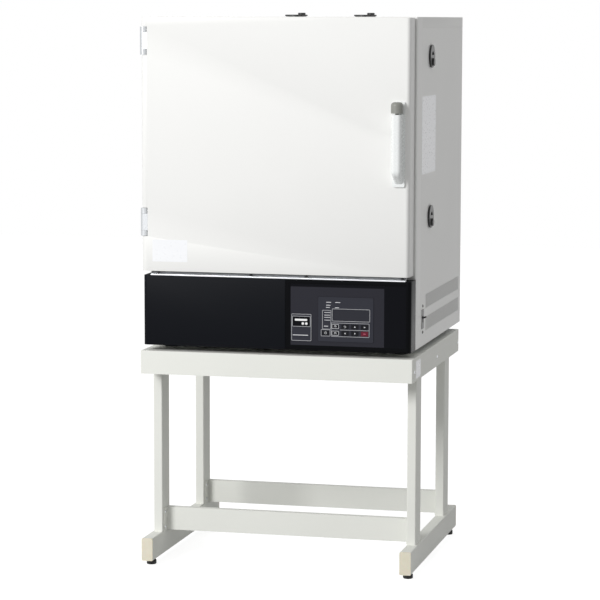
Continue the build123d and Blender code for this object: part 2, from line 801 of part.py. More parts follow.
def port_cuts():
    """Holes for the port tubes through the liner and the wool."""
    cuts = []
    for seat, direction, depth in port_places():
        inward = Vector(*direction) * -1
        cuts.append(rod(seat, inward, port_hole_radius(), depth + LAP))
    return cuts


def half_moon(radius, height):
    """Half-round opening on the far side of a plate's middle web, in the plate's own plane."""
    web = 2 * PORT_PIN_R
    half_plane = Pos(0, web / 2 + radius, 0) * Box(2 * radius, 2 * radius, height)
    return Cylinder(radius, height) & half_plane


def port_plane(seat, direction):
    """Plane on a port's seat; the cap's knob lies on its negative y side at rest."""
    return Plane(origin=seat, x_dir=(0, 1, 0), z_dir=direction)


def port_sleeve(seat, direction, depth):
    """Tube through the wall with a ring on the casing, a half-open web and a pivot pin."""
    plane = port_plane(seat, direction)
    base = (Align.CENTER, Align.CENTER, Align.MIN)
    tube = Pos(0, 0, -depth) * Cylinder(port_tube_radius(), depth, align=base)
    ring = Cylinder(PORT_RING_R, PORT_RING_T, align=base)
    bore = Pos(0, 0, -depth - LAP) * Cylinder(PORT_BORE_R, depth + LAP, align=base)
    pin = Cylinder(PORT_PIN_R, PORT_RING_T + PORT_CAP_T - PORT_CAP_ROOF, align=base)
    opening = half_moon(PORT_WINDOW_R, 4 * PORT_RING_T)
    return plane * (tube + ring - bore - opening + pin)


def port_cap(seat, direction):
    """Turning cap with a half-moon window and an eccentric finger knob."""
    plane = port_plane(seat, direction)
    base = (Align.CENTER, Align.CENTER, Align.MIN)
    lift = PORT_RING_T + GAP
    disc = Pos(0, 0, lift) * Cylinder(PORT_CAP_R, PORT_CAP_T, align=base)
    disc = chamfer(disc.edges().sort_by(Axis.Z)[-1], PORT_CAP_BEVEL)
    knob = Pos(0, -PORT_KNOB_OFFSET, lift + PORT_CAP_T) * Cylinder(PORT_KNOB_R, PORT_KNOB_H, align=base)
    knob = fillet(knob.edges().sort_by(Axis.Z)[-1], PORT_KNOB_EDGE_R)
    bore = Cylinder(PORT_PIN_R + RUN, lift + PORT_CAP_T - PORT_CAP_ROOF, align=base)
    window = Pos(0, 0, lift) * half_moon(PORT_WINDOW_R, 4 * PORT_CAP_T)
    return plane * (disc + knob - bore - window)


# Air circulation

def impeller():
    """Centrifugal wheel of curved blades between a back disc and an inlet ring."""
    y0 = PLENUM_MID_Y - IMPELLER_W / 2
    plane = Plane(origin=(0, y0, CHAMBER_MID_Z), x_dir=(1, 0, 0), z_dir=(0, 1, 0))
    base = (Align.CENTER, Align.CENTER, Align.MIN)
    ring = Cylinder(IMPELLER_R, DISC_T, align=base) - Cylinder(IMPELLER_EYE_R, DISC_T, align=base)
    back = Pos(0, 0, IMPELLER_W - DISC_T) * Cylinder(IMPELLER_R, DISC_T, align=base)
    hub = Pos(0, 0, IMPELLER_W - HUB_L) * Cylinder(HUB_R, HUB_L, align=base)
    tip_r = IMPELLER_R - BLADE_T
    root = Vector(BLADE_ROOT_R, 0)
    tip = Vector(tip_r, 0).rotate(Axis.Z, -BLADE_SWEEP)
    bow = Vector((BLADE_ROOT_R + tip_r) / 2, BLADE_T).rotate(Axis.Z, -BLADE_SWEEP / 3)
    curve = ThreePointArc(root, bow, tip)
    blade_face = trace(curve, BLADE_T)
    blade = extrude(Pos(0, 0, DISC_T) * blade_face, IMPELLER_W - 2 * DISC_T)
    blades = [Rot(0, 0, index * 360 / BLADES) * blade for index in range(BLADES)]
    wheel = ring + back + hub + blades
    bore = Cylinder(SHAFT_R, IMPELLER_W, align=base)
    return plane * (wheel - bore)


def fan_shaft():
    """Shaft from the motor through the wool to the wheel."""
    y0 = PLENUM_MID_Y + IMPELLER_W / 2 - HUB_L
    y1 = BULKHEAD_Y1 + MOTOR_BORE_L - GAP
    return rod((0, y0, CHAMBER_MID_Z), (0, 1, 0), SHAFT_R, y1 - y0)


def fan_motor():
    """Motor on the bulkhead, with its mounting flange and cooling ribs."""
    start = (0, BULKHEAD_Y1, CHAMBER_MID_Z)
    flange = rod(start, (0, 1, 0), MOTOR_FLANGE_R, MOTOR_FLANGE_T)
    body = rod(start, (0, 1, 0), MOTOR_R, MOTOR_L)
    ribs = []
    for index in range(MOTOR_RIBS):
        y = BULKHEAD_Y1 + MOTOR_RIB_START + MOTOR_RIB_PITCH * index
        ribs.append(rod((0, y, CHAMBER_MID_Z), (0, 1, 0), MOTOR_R + MOTOR_FLANGE_T, MOTOR_FLANGE_T))
    bore = rod(start, (0, 1, 0), SHAFT_R + RUN, MOTOR_BORE_L)
    return flange + body + ribs - bore


def motor_cover():
    """Folded cover over the motor on the rear panel, with air slots."""
    x = span(0, COVER_W)
    z = span(CHAMBER_MID_Z, COVER_H)
    box = block(x, (REAR_Y, REACH_REAR), z)
    box = fillet(box.faces().sort_by(Axis.Y)[-1].edges(), 2 * SHEET)
    box -= block(within(x, SHEET), (REAR_Y - LAP, REACH_REAR - SHEET), within(z, SHEET))
    through = past((REACH_REAR - SHEET, REACH_REAR))

    def slot(offset):
        return block(span(0, 2 * VENT_SLOT_L), through, span(CHAMBER_MID_Z + offset, VENT_SLOT_H))

    return box - slots_along(2 * VENT_ROWS, VENT_PITCH, slot)


def heater_tails():
    """Where the two straight ends of the heater leave its ring."""
    places = []
    for turn in (-1, 1):
        angle = math.radians(90 + turn * HEATER_ARC / 2)
        places.append((HEATER_R * math.cos(angle), CHAMBER_MID_Z + HEATER_R * math.sin(angle)))
    return places


def heater_element():
    """Sheathed heater bent to a ring round the fan, with its two ends led out at the rear."""
    middle = Vector(0, PLENUM_MID_Y, CHAMBER_MID_Z)
    angle = math.radians(90 - HEATER_ARC / 2)
    start = middle + Vector(HEATER_R * math.cos(angle), 0, HEATER_R * math.sin(angle))
    tangent = Vector(-math.sin(angle), 0, math.cos(angle))
    section = Plane(origin=start, z_dir=tangent) * Circle(HEATER_TUBE_R)
    ring = revolve(section, Axis(middle, (0, -1, 0)), HEATER_ARC)
    tail = BULKHEAD_Y1 + HEATER_TAIL - PLENUM_MID_Y
    heater = ring
    for x, z in heater_tails():
        heater += Pos(x, PLENUM_MID_Y, z) * Sphere(HEATER_TUBE_R)
        heater += rod((x, PLENUM_MID_Y, z), (0, 1, 0), HEATER_TUBE_R, tail)
    return heater


def temperature_probe(x):
    """Thin sheathed sensor from the rear into the chamber, with its head behind the bulkhead."""
    z = CHAMBER_Z1 - PROBE_DROP
    y0 = DUCT_Y - PROBE_REACH
    stem = rod((x, y0, z), (0, 1, 0), PROBE_R, BULKHEAD_Y1 - y0)
    head = rod((x, BULKHEAD_Y1, z), (0, 1, 0), PROBE_HEAD_R, PROBE_HEAD_L)
    return stem + head


def fan_duct_plate():
    """Rear wall of the chamber: intake slots before the fan and outlet slots at the sides."""
    half = HALF_CHAMBER - GAP
    z = (CHAMBER_Z0 + GAP, CHAMBER_Z1 - GAP)
    plate = block((-half, half), (DUCT_Y, DUCT_Y + LINER_T), z)
    for side in (-1, 1):
        x = sorted((side * (half - LINER_T), side * half))
        plate += block(x, (DUCT_Y, LINER_Y1), z)
    cut_y = (DUCT_Y - LAP, DUCT_Y + LINER_T + LAP)
    count = 2 * int((INTAKE_R - INTAKE_SLOT) / INTAKE_PITCH) + 1

    def intake(offset):
        reach = math.sqrt(INTAKE_R ** 2 - offset ** 2)
        return block(span(offset, INTAKE_SLOT), cut_y, span(CHAMBER_MID_Z, 2 * reach))

    plate -= slots_along(count, INTAKE_PITCH, intake)
    columns = [side * (HALF_CHAMBER - inset) for inset in OUTLET_INSETS for side in (-1, 1)]

    def outlets(offset):
        z = span(CHAMBER_MID_Z + offset, OUTLET_SLOT_H)
        return [block(span(x, OUTLET_SLOT_W), cut_y, z) for x in columns]

    for row in slots_along(OUTLET_ROWS, OUTLET_PITCH, outlets):
        plate -= row
    for x in (-PROBE_X, PROBE_X):
        plate -= rod((x, cut_y[0], CHAMBER_Z1 - PROBE_DROP), (0, 1, 0), PROBE_R + GAP, LINER_T + 2 * LAP)
    return plate


# Shelves

def shelf_upright(y):
    """Right slotted channel that the shelf clips hook into."""
    x = (HALF_CHAMBER - UPRIGHT_D, HALF_CHAMBER)
    width = span(y, UPRIGHT_W)
    z = (UPRIGHT_Z0, UPRIGHT_Z1)
    channel = block(x, width, z)
    channel -= block((x[0] + UPRIGHT_T, x[1] + LAP), within(width, UPRIGHT_T), past(z))
    through = past((x[0], x[0] + UPRIGHT_T))
    slots = int((UPRIGHT_Z1 - UPRIGHT_Z0) / UPRIGHT_SLOT_PITCH)
    for index in range(slots):
        low = slot_level(index)
        channel -= block(through, span(y, UPRIGHT_SLOT_W), (low, low + UPRIGHT_SLOT_H))
    return channel


def slot_level(index):
    """Lower edge of a slot in the shelf uprights."""
    return UPRIGHT_Z0 + UPRIGHT_SLOT_PITCH * (index + 0.5)


def shelf_clip(y, index):
    """Right bent clip: a tongue in the slot, a tab under the shelf and a leg down the upright."""
    face = HALF_CHAMBER - UPRIGHT_D
    low = slot_level(index)
    width = span(y, CLIP_W)
    tab = block((face - CLIP_REACH, face + CLIP_TONGUE), width, (low, low + CLIP_T))
    leg = block((face - CLIP_T, face), width, (low - CLIP_LEG, low))
    return tab + leg


def shelf_level(index):
    """Middle of a shelf's rim above its clips."""
    return slot_level(index) + CLIP_T + SHELF_RIM_R


def wire_shelf(index):
    """Welded shelf: a round rim, two cross bars and a row of wires."""
    z = shelf_level(index)
    width = CHAMBER_W - 2 * SHELF_SIDE_GAP
    y = (CHAMBER_Y0 + SHELF_FRONT_GAP, DUCT_Y - SHELF_REAR_GAP)
    depth = y[1] - y[0]
    middle = sum(y) / 2
    path = (Pos(0, middle, z) * RectangleRounded(width, depth, SHELF_CORNER_R)).wire()
    start = path.position_at(0)
    rim = sweep(Plane(origin=start, z_dir=path.tangent_at(0)) * Circle(SHELF_RIM_R), path)
    count = round((width - 2 * SHELF_CORNER_R) / SHELF_WIRE_PITCH)

    def wire(offset):
        return rod((offset, y[0], z), (0, 1, 0), SHELF_WIRE_R, depth)

    def bar(offset):
        bar_z = z - SHELF_WIRE_R
        return rod((-width / 2, middle + offset, bar_z), (1, 0, 0), SHELF_CROSS_R, width)

    wires = slots_along(count, SHELF_WIRE_PITCH, wire)
    return rim + wires + slots_along(SHELF_BARS, depth / (SHELF_BARS + 1), bar)


# Door

def hinge_pockets(grow):
    """Notches in the door's hinge edge, grown by a wall for the hollow inside the door."""
    pockets = []
    for level in HINGE_LEVELS:
        pockets.append(block(
            (DOOR_X0 - LAP, POCKET_X1 + grow),
            (DOOR_Y0 - LAP, DOOR_Y1 + LAP),
            (level - HINGE_POCKET_GAP - grow, level + HINGE_H + HINGE_POCKET_GAP + grow),
        ))
    return pockets


def door_shell():
    """Outer skin of the door, open at the rear, with rounded upright edges and the catch's hole."""
    x = (DOOR_X0, DOOR_X1)
    y = (DOOR_Y0, DOOR_Y1)
    radii = (DOOR_HINGE_EDGE_R, DOOR_LATCH_EDGE_R, 0, 0)
    skin = upright(rounded_plan(x, y, radii), (DOOR_Z0, DOOR_Z1)) - hinge_pockets(0)
    inner_radii = [max(radius - DOOR_SHEET, 0) for radius in radii]
    inner_plan = rounded_plan(
        (x[0] + DOOR_SHEET, x[1] - DOOR_SHEET),
        (y[0] + DOOR_SHEET, y[1] + LAP),
        inner_radii,
    )
    hollow = upright(inner_plan, (DOOR_Z0 + DOOR_SHEET, DOOR_Z1 - DOOR_SHEET))
    return skin - (hollow - hinge_pockets(DOOR_SHEET)) - catch(GAP)


def door_inner_panel():
    """Bright rear sheet of the door, with a shallow plug that enters the chamber's mouth."""
    x = (POCKET_X1, DOOR_X1 - PANEL_LIP)
    z = (DOOR_Z0 + PANEL_LIP, DOOR_Z1 - PANEL_LIP)
    sheet = block(x, (DOOR_Y1, DOOR_Y1 + LINER_T), z)
    plug_x = within((-HALF_CHAMBER, HALF_CHAMBER), PLUG_SIDE)
    plug_z = within((CHAMBER_Z0, CHAMBER_Z1), PLUG_SIDE)
    plug_y = (DOOR_Y1, DOOR_Y1 + PLUG_REACH)
    plug = side_rounded(plug_x, plug_y, plug_z, PLUG_R)
    hollow_y = (plug_y[0] - LAP, plug_y[1] - LINER_T)
    hollow = block(within(plug_x, LINER_T), hollow_y, within(plug_z, LINER_T))
    return sheet + plug - hollow - catch(GAP)


def door_insulation():
    """Mineral wool slab inside the door."""
    slab = block(
        (POCKET_X1 + DOOR_SHEET, DOOR_X1 - DOOR_LATCH_EDGE_R),
        (DOOR_Y0 + DOOR_SHEET, DOOR_Y1),
        within((DOOR_Z0, DOOR_Z1), DOOR_SHEET),
    )
    return slab - catch(GAP)


def catch(room):
    """Spring tongue of the door catch, from the handle through the door into the front ring."""
    x = past(span(CATCH_X, CATCH_W), room)
    z = past(span(CATCH_Z, CATCH_H), room)
    tongue = block(x, (DOOR_Y0, CATCH_REACH), z)
    return chamfer(tongue.faces().sort_by(Axis.Y)[-1].edges().filter_by(Axis.Z), CATCH_NOSE - room)


def catch_room():
    """Room for the catch's tongue in the front ring and the wool behind it."""
    x = past(span(CATCH_X, CATCH_W), CATCH_ROOM)
    z = past(span(CATCH_Z, CATCH_H), CATCH_ROOM)
    return block(x, (-LAP, CATCH_REACH + CATCH_ROOM), z)


def door_gasket():
    """Silicone ring on the inner panel that closes on the front frame."""
    y = (DOOR_Y1 + LINER_T, -GAP)
    x = past((-HALF_CHAMBER, HALF_CHAMBER), GASKET_OUT)
    z = past((CHAMBER_Z0, CHAMBER_Z1), GASKET_OUT)
    outer = side_rounded(x, y, z, GASKET_R)
    inner = side_rounded(within(x, GASKET_W), past(y), within(z, GASKET_W), GASKET_R - GASKET_W / 2)
    return outer - inner


def hinge_leaf(level):
    """Knuckle block screwed in the door's pocket."""
    z = within((level, level + HINGE_H), HINGE_EAR_H + GAP)
    height = z[1] - z[0]
    axis_foot = (-HINGE_X, HINGE_Y, z[0])
    knuckle = rod(axis_foot, (0, 0, 1), HINGE_R, height)
    arm = block((-HINGE_X, POCKET_X1), (DOOR_Y0, DOOR_Y0 + 2 * HINGE_R), z)
    return knuckle + arm - rod(axis_foot, (0, 0, 1), HINGE_PIN_R + RUN, height)


def hinge_bracket(level):
    """Bracket on the front frame: a base plate and two ears that hold the hinge pin."""
    x = (-HINGE_X - HINGE_R, -HINGE_X + HINGE_R)
    bracket = block((-HALF_W + CASE_EDGE_R, x[1]), (-HINGE_PLATE_T, 0), (level, level + HINGE_H))
    for z0 in (level, level + HINGE_H - HINGE_EAR_H):
        ear = block(x, (HINGE_Y, -GAP), (z0, z0 + HINGE_EAR_H))
        bracket += ear + rod((-HINGE_X, HINGE_Y, z0), (0, 0, 1), HINGE_R, HINGE_EAR_H)
    return bracket + rod((-HINGE_X, HINGE_Y, level), (0, 0, 1), HINGE_PIN_R, HINGE_H)


def handle_profile(y_front, z_top):
    """Side view of the grip: foot on the door, sloped toe, upright front and level top."""
    toe = (y_front, HANDLE_Z0 + HANDLE_TOE / 2)
    outline = Polyline(
        (DOOR_Y0, HANDLE_Z0 - HANDLE_TOE),
        toe,
        (y_front, z_top),
        (DOOR_Y0, z_top),
        close=True,
    )
    face = make_face(Plane.YZ * outline)
    return fillet(face.vertices().sort_by_distance(Vector(0, *toe))[0], HANDLE_TOE)


def handle_back():
    """Plate of the handle on the door's skin, which reaches up behind the thumb button."""
    top = HANDLE_Z0 + HANDLE_H + BUTTON_TRAVEL + BUTTON_H
    x = span(HANDLE_X, HANDLE_W + 2 * HANDLE_BACK_MARGIN)
    z = (HANDLE_Z0 - HANDLE_TOE - HANDLE_BACK_MARGIN, top)
    return side_rounded(x, (DOOR_Y0 - HANDLE_BACK_T, DOOR_Y0), z, HANDLE_BACK_R)


def handle_seams(x, y_front):
    """Fine grooves down both sides of the grip where its front half meets its rear half."""
    y = (y_front + GRIP_T - 2 * HANDLE_SEAM_W, y_front + GRIP_T - HANDLE_SEAM_W)
    z = (HANDLE_Z0, HANDLE_Z0 + HANDLE_H + LAP)
    left = block((x[0] - LAP, x[0] + HANDLE_SEAM_DEPTH), y, z)
    right = block((x[1] - HANDLE_SEAM_DEPTH, x[1] + LAP), y, z)
    return [left, right]


def door_handle():
    """Upright grip on the latch side, open towards the hinges for the fingers."""
    x = span(HANDLE_X, HANDLE_W)
    y_front = DOOR_Y0 - HANDLE_REACH
    z_top = HANDLE_Z0 + HANDLE_H
    profile = Pos(x[0], 0, 0) * handle_profile(y_front, z_top)
    grip = extrude(profile, HANDLE_W, dir=(1, 0, 0))
    fronts = grip.edges().filter_by(Axis.Z).sort_by(Axis.Y)[:2]
    grip = fillet(fronts, HANDLE_FRONT_R)
    grip -= block(
        (x[0] - LAP, x[1] - GRIP_WALL),
        (y_front + GRIP_T, DOOR_Y0 - HANDLE_BACK_T),
        (HANDLE_Z0 + GRIP_END, z_top - GRIP_END),
    )
    bore_at = (HANDLE_X, button_y(), z_top - BUTTON_STEM_L)
    bore = rod(bore_at, (0, 0, 1), BUTTON_STEM_D / 2 + RUN, BUTTON_STEM_L + LAP)
    return grip - bore - handle_seams(x, y_front) + handle_back()


def button_y():
    """Axis of the thumb button, which stands a little proud of the grip's front."""
    return DOOR_Y0 - HANDLE_REACH + BUTTON_D / 2 - BUTTON_OVERHANG


def handle_button():
    """Domed thumb button that is pressed down to free the catch."""
    z0 = HANDLE_Z0 + HANDLE_H + BUTTON_TRAVEL + GAP
    cap = rod((HANDLE_X, button_y(), z0), (0, 0, 1), BUTTON_D / 2, BUTTON_H - 2 * GAP)
    cap = fillet(cap.edges().sort_by(Axis.Z)[-1], BUTTON_DOME_R)
    length = BUTTON_STEM_L - GAP
    stem = rod((HANDLE_X, button_y(), z0 - length + BUTTON_TRAVEL), (0, 0, 1), BUTTON_STEM_D / 2, length)
    return cap + stem


# Controls

def key_places():
    """Column and row of each key: four in the upper row and five in the lower one."""
    columns = [DISPLAY_X + KEY_OFFSET + column * KEY_PITCH_X for column in range(5)]
    z = DISPLAY_Z0 + KEY_RISE
    return [(x, z + KEY_PITCH_Z) for x in columns[1:]] + [(x, z) for x in columns]


def control_bezel():
    """Moulded housing for the controls, open at the rear, with a recess for the panel plate."""
    x = (-HALF_W, HALF_W)
    levels = (CASE_Z0, BEZEL_Z1)
    housing = upright(rounded_plan(x, (BEZEL_Y0, 0), (BEZEL_R, BEZEL_R, 0, 0)), levels)
    inner_r = BEZEL_R - BEZEL_WALL
    inner_y = (BEZEL_Y0 + BEZEL_WALL, LAP)
    inner_plan = rounded_plan(within(x, BEZEL_WALL), inner_y, (inner_r, inner_r, 0, 0))
    housing -= upright(inner_plan, within(levels, BEZEL_WALL))
    plate_x = (PLATE_X, PLATE_X + PLATE_W)
    plate_z = (PLATE_Z0, PLATE_Z0 + PLATE_H)
    recess = block(plate_x, (BEZEL_Y0 - LAP, BEZEL_Y0 + PLATE_T), plate_z)
    through = past((BEZEL_Y0, BEZEL_Y0 + BEZEL_WALL))
    window = block(within(plate_x, PLATE_LEDGE), through, within(plate_z, PLATE_LEDGE))
    split_x = span(PLATE_X - SPLIT_OFFSET, SPLIT_W)
    split = block(split_x, (BEZEL_Y0 - LAP, BEZEL_Y0 + SPLIT_DEPTH), past(levels))
    return housing - recess - window - split


def control_panel_plate():
    """Panel with raised fields for the display, its keys and the limit setter."""
    y = (BEZEL_Y0, BEZEL_Y0 + PLATE_T)
    plate = block((PLATE_X, PLATE_X + PLATE_W), y, (PLATE_Z0, PLATE_Z0 + PLATE_H))
    proud = (BEZEL_Y0 - FIELD_PROUD, BEZEL_Y0)
    fields = (
        (DISPLAY_X, DISPLAY_W, DISPLAY_Z0, DISPLAY_H),
        (SETTER_X, SETTER_W, SETTER_Z0, SETTER_H),
    )
    for x, width, z, height in fields:
        plate += side_rounded((x, x + width), proud, (z, z + height), FIELD_R)
    through = past(y)
    plate -= block((WINDOW_X, WINDOW_X + WINDOW_W), through, (WINDOW_Z0, WINDOW_Z0 + WINDOW_H))
    view_x = span(SETTER_X + SETTER_W / 2, SETTER_VIEW_W)
    view_z = SETTER_Z0 + SETTER_VIEW_RISE
    sunk = (proud[0] - LAP, proud[0] + SETTER_VIEW_DEPTH)
    plate -= block(view_x, sunk, (view_z, view_z + SETTER_VIEW_H))
    for x, z in key_places():
        plate -= block(span(x, KEY_W), through, span(z, KEY_H))
    return plate


def display_window():
    """Tinted window held behind the panel plate by its lip."""
    x = (WINDOW_X, WINDOW_X + WINDOW_W)
    z = (WINDOW_Z0, WINDOW_Z0 + WINDOW_H)
    rear = BEZEL_Y0 + PLATE_T
    pane = block(within(x, GAP), (rear - WINDOW_T, rear), within(z, GAP))
    lip = block(past(x, WINDOW_LIP), (rear, rear + WINDOW_LIP_T), past(z, WINDOW_LIP))
    return pane + lip


def panel_key(x, z):
    """Flat key with a flange behind the plate and a stem towards its switch."""
    width = span(x, KEY_W)
    height = span(z, KEY_H)
    rear = BEZEL_Y0 + PLATE_T + GAP
    front = BEZEL_Y0 - FIELD_PROUD - KEY_PROUD
    cap = block(within(width, GAP), (front, rear), within(height, GAP))
    cap = fillet(cap.faces().sort_by(Axis.Y)[0].edges(), KEY_EDGE_R)
    flange_y = (rear, rear + KEY_FLANGE_T)
    flange = block(past(width, KEY_FLANGE), flange_y, past(height, KEY_FLANGE))
    stem = rod((x, rear + KEY_FLANGE_T, z), (0, 1, 0), KEY_STEM_R, KEY_STEM_L)
    return cap + flange + stem


def control_board():
    """Circuit board behind the panel, with key switches, display block, transformer and relay."""
    plate_rear = BEZEL_Y0 + PLATE_T
    front = plate_rear + BOARD_BACK
    rear = front + BOARD_T
    x = (DISPLAY_X - BOARD_MARGIN_X, PLATE_X + PLATE_W - BOARD_MARGIN_X)
    z = within((PLATE_Z0, PLATE_Z0 + PLATE_H), BOARD_MARGIN_Z)
    board = block(x, (front, rear), z)
    switch_face = plate_rear + GAP + KEY_FLANGE_T + KEY_STEM_L + KEY_TRAVEL + GAP
    for key_x, key_z in key_places():
        board += block(span(key_x, SWITCH_W), (switch_face, front), span(key_z, SWITCH_W))
    glass_y = (plate_rear + WINDOW_LIP_T + GAP, front)
    board += block((WINDOW_X, WINDOW_X + WINDOW_W), glass_y, (WINDOW_Z0, WINDOW_Z0 + WINDOW_H))
    for post_x in within(x, 2 * POST_R):
        for post_z in within(z, 2 * POST_R):
            board += rod((post_x, plate_rear, post_z), (0, 1, 0), POST_R, BOARD_BACK)
    parts_x = within(x, BOARD_MARGIN_X)
    middle = sum(z) / 2
    core_x = (parts_x[0], parts_x[0] + CORE_W)
    relay_x = (parts_x[1] - RELAY_W, parts_x[1])
    board += block(core_x, (rear, rear + CORE_D), span(middle, CORE_H))
    board += block(relay_x, (rear, rear + RELAY_D), span(middle, RELAY_H))
    return board


def bezel_trim_strip():
    """Extruded strip on top of the control housing, sloping up towards the door."""
    y0 = BEZEL_Y0
    outline = Polyline(
        (y0, BEZEL_Z1),
        (y0, BEZEL_Z1 + STRIP_LOW),
        (y0 + STRIP_SLOPE, BEZEL_Z1 + STRIP_HIGH),
        (y0 + STRIP_D, BEZEL_Z1 + STRIP_HIGH),
        (y0 + STRIP_D, BEZEL_Z1),
        close=True,
    )
    section = Pos(STRIP_XS[0], 0, 0) * make_face(Plane.YZ * outline)
    return extrude(section, STRIP_XS[1] - STRIP_XS[0], dir=(1, 0, 0))


def breaker_body():
    """Main breaker behind the right side sheet, with ears on the sheet and a lever slot."""
    z_mid = CASE_Z0 + BREAKER_RISE
    y = span(BREAKER_Y, BREAKER_W)
    body = block((HALF_W - BREAKER_DEPTH, HALF_W + BREAKER_PROUD), y, span(z_mid, BREAKER_H))
    ear_x = (HALF_W - SHEET - BREAKER_EAR_T, HALF_W - SHEET)
    body += block(ear_x, y, span(z_mid, BREAKER_H + 2 * BREAKER_EAR_H))
    slot_x = (HALF_W + BREAKER_PROUD - LEVER_SLOT_DEPTH, HALF_W + BREAKER_PROUD + LAP)
    body -= block(slot_x, span(BREAKER_Y, LEVER_W + 2 * GAP), span(z_mid, LEVER_SLOT_H))
    pin_l = LEVER_W + 2 * LEVER_PIN_L + 2 * GAP
    pin_y = BREAKER_Y - pin_l / 2
    return body - rod((lever_x(), pin_y, z_mid), (0, 1, 0), LEVER_PIN_R + RUN, pin_l)


def lever_x():
    """Pivot of the breaker's lever behind the body's face."""
    return HALF_W + BREAKER_PROUD - LEVER_SLOT_DEPTH + LEVER_HUB_R + LEVER_SLOT_ROOM


def breaker_lever():
    """Toggle on its pivot pins, leaning up in the on position."""
    z_mid = CASE_Z0 + BREAKER_RISE
    y0 = BREAKER_Y - LEVER_W / 2
    hub = rod((lever_x(), y0, z_mid), (0, 1, 0), LEVER_HUB_R, LEVER_W)
    bar = block((0, LEVER_L + LEVER_HUB_R), (y0, y0 + LEVER_W), (-LEVER_T / 2, LEVER_T / 2))
    bar = fillet(bar.edges().filter_by(Axis.Y).sort_by(Axis.X)[-2:], LEVER_T / 3)
    bar = Pos(lever_x(), 0, z_mid) * Rot(0, -LEVER_LEAN, 0) * bar
    pin_l = LEVER_W + 2 * LEVER_PIN_L
    pins = rod((lever_x(), BREAKER_Y - pin_l / 2, z_mid), (0, 1, 0), LEVER_PIN_R, pin_l)
    return hub + bar + pins


def cord_gland():
    """Cable gland low at the rear, with its flange nut and bore."""
    place = (gland_x(), REAR_Y, CASE_Z0 + GLAND_RISE)
    body = rod(place, (0, 1, 0), GLAND_R, GLAND_L)
    body = chamfer(body.edges().sort_by(Axis.Y)[-1], GLAND_BEVEL)
    nut = hexagon(place, (0, 1, 0), GLAND_NUT_AF, GLAND_NUT_T)
    return body + nut - rod(place, (0, 1, 0), GLAND_BORE_R, GLAND_L)


def gland_x():
    """Middle of the cable gland, near the left rear corner."""
    return GLAND_INSET - HALF_W


def all_screws():
    """Screw heads of the stand, the breaker, the strip and the rear panel."""
    heads = []
    skirt_z = STAND_H - TRAY_SKIRT + SKIRT_SCREW_RISE
    skirt_ends = (TRAY_YS[0] + SKIRT_SCREW_INSET_FRONT, TRAY_YS[1] - SKIRT_SCREW_INSET_REAR)
    rear_z = within((CASE_Z0 + REAR_MARGIN, PANEL_Z1 - SHEET), REAR_SCREW_END)
    rear_step = (rear_z[1] - rear_z[0]) / (REAR_SCREWS - 1)
    for side in (-1, 1):
        for y in (skirt_ends[0], sum(skirt_ends) / 2, skirt_ends[1]):
            heads.append(screw((side * TRAY_W / 2, y, skirt_z), (side, 0, 0)))
        for y_leg in LEGS_Y:
            y = y_leg + CROSS_SETBACK - CROSS_TAB / 2
            for z in within((RAIL_Z1, RAIL_Z1 + CROSS_H), TAB_SCREW_INSET):
                heads.append(screw((side * (RAIL_INNER_X - CROSS_T), y, z), (-side, 0, 0)))
        x = side * (HALF_W - REAR_MARGIN - REAR_SCREW_INSET)
        for index in range(REAR_SCREWS):
            heads.append(screw((x, REAR_Y, rear_z[0] + index * rear_step), (0, 1, 0)))
    for z in span(CASE_Z0 + BREAKER_RISE, BREAKER_H + BREAKER_EAR_H):
        heads.append(screw((HALF_W, BREAKER_Y, z), (1, 0, 0)))
    strip_ends = (STRIP_XS[0] + STRIP_SCREW_INSET_LEFT, STRIP_XS[1] - STRIP_SCREW_INSET_RIGHT)
    strip_y = BEZEL_Y0 + STRIP_D - SCREW_R
    for x in strip_ends + STRIP_SCREWS_MIDDLE:
        heads.append(screw((x, strip_y, BEZEL_Z1 + STRIP_HIGH), (0, 0, 1)))
    return heads


def both_sides(piece):
    """A right-hand piece and its mirror image."""
    return [piece, mirrored(piece)]


save("stand_tray", stand_tray())
save("stand_top_rails", *both_sides(stand_top_rail()))
save("stand_legs", *[leg for y in LEGS_Y for leg in both_sides(stand_leg(y))])
save("stand_foot_rails", *both_sides(stand_foot_rail()))
save("stand_rail_caps", *[cap for end in (-1, 1) for cap in both_sides(rail_cap(end))])
save("stand_cross_rails", *[cross_rail(y) for y in LEGS_Y])
for depth_name, pad_y in zip(("front", "rear"), PADS_Y):
    for side_name, side_sign in (("left", -1), ("right", 1)):
        save(f"levelling_foot_{depth_name}_{side_name}", levelling_foot(side_sign, pad_y))
save("oven_feet", *[oven_foot(x, y) for x in OVEN_FEET_X for y in OVEN_FEET_Y])

save("front_frame", front_frame())
save("side_panel_left", mirrored(plain_side()))
save("side_panel_right", side_panel_right())
save("top_cover", top_cover())
save("rear_panel", rear_panel())
save("base_pan", base_pan())
save("inner_chassis", inner_chassis())
save("chamber_liner", chamber_liner())
save("chamber_insulation", chamber_insulation())

save("port_sleeves", *[port_sleeve(*place) for place in port_places()])
PORT_NAMES = ("side_upper", "side_lower", "top_left", "top_right")
for port_name, (port_seat, port_direction, port_depth) in zip(PORT_NAMES, port_places()):
    save(f"damper_cap_{port_name}", port_cap(port_seat, port_direction))

save("fan_impeller", impeller(), fan_shaft())
save("fan_motor", fan_motor())
save("motor_cover", motor_cover())
save("heater_element", heater_element())
save("temperature_probes", *[temperature_probe(x) for x in (-PROBE_X, PROBE_X)])
save("fan_duct_plate", fan_duct_plate())

save("shelf_uprights", *[piece for y in UPRIGHTS_Y for piece in both_sides(shelf_upright(y))])
CLIP_PLACES = [(y, index) for y in UPRIGHTS_Y for index in SHELF_SLOTS]
save("shelf_clips", *[clip for place in CLIP_PLACES for clip in both_sides(shelf_clip(*place))])
save("wire_shelves", *[wire_shelf(index) for index in SHELF_SLOTS])

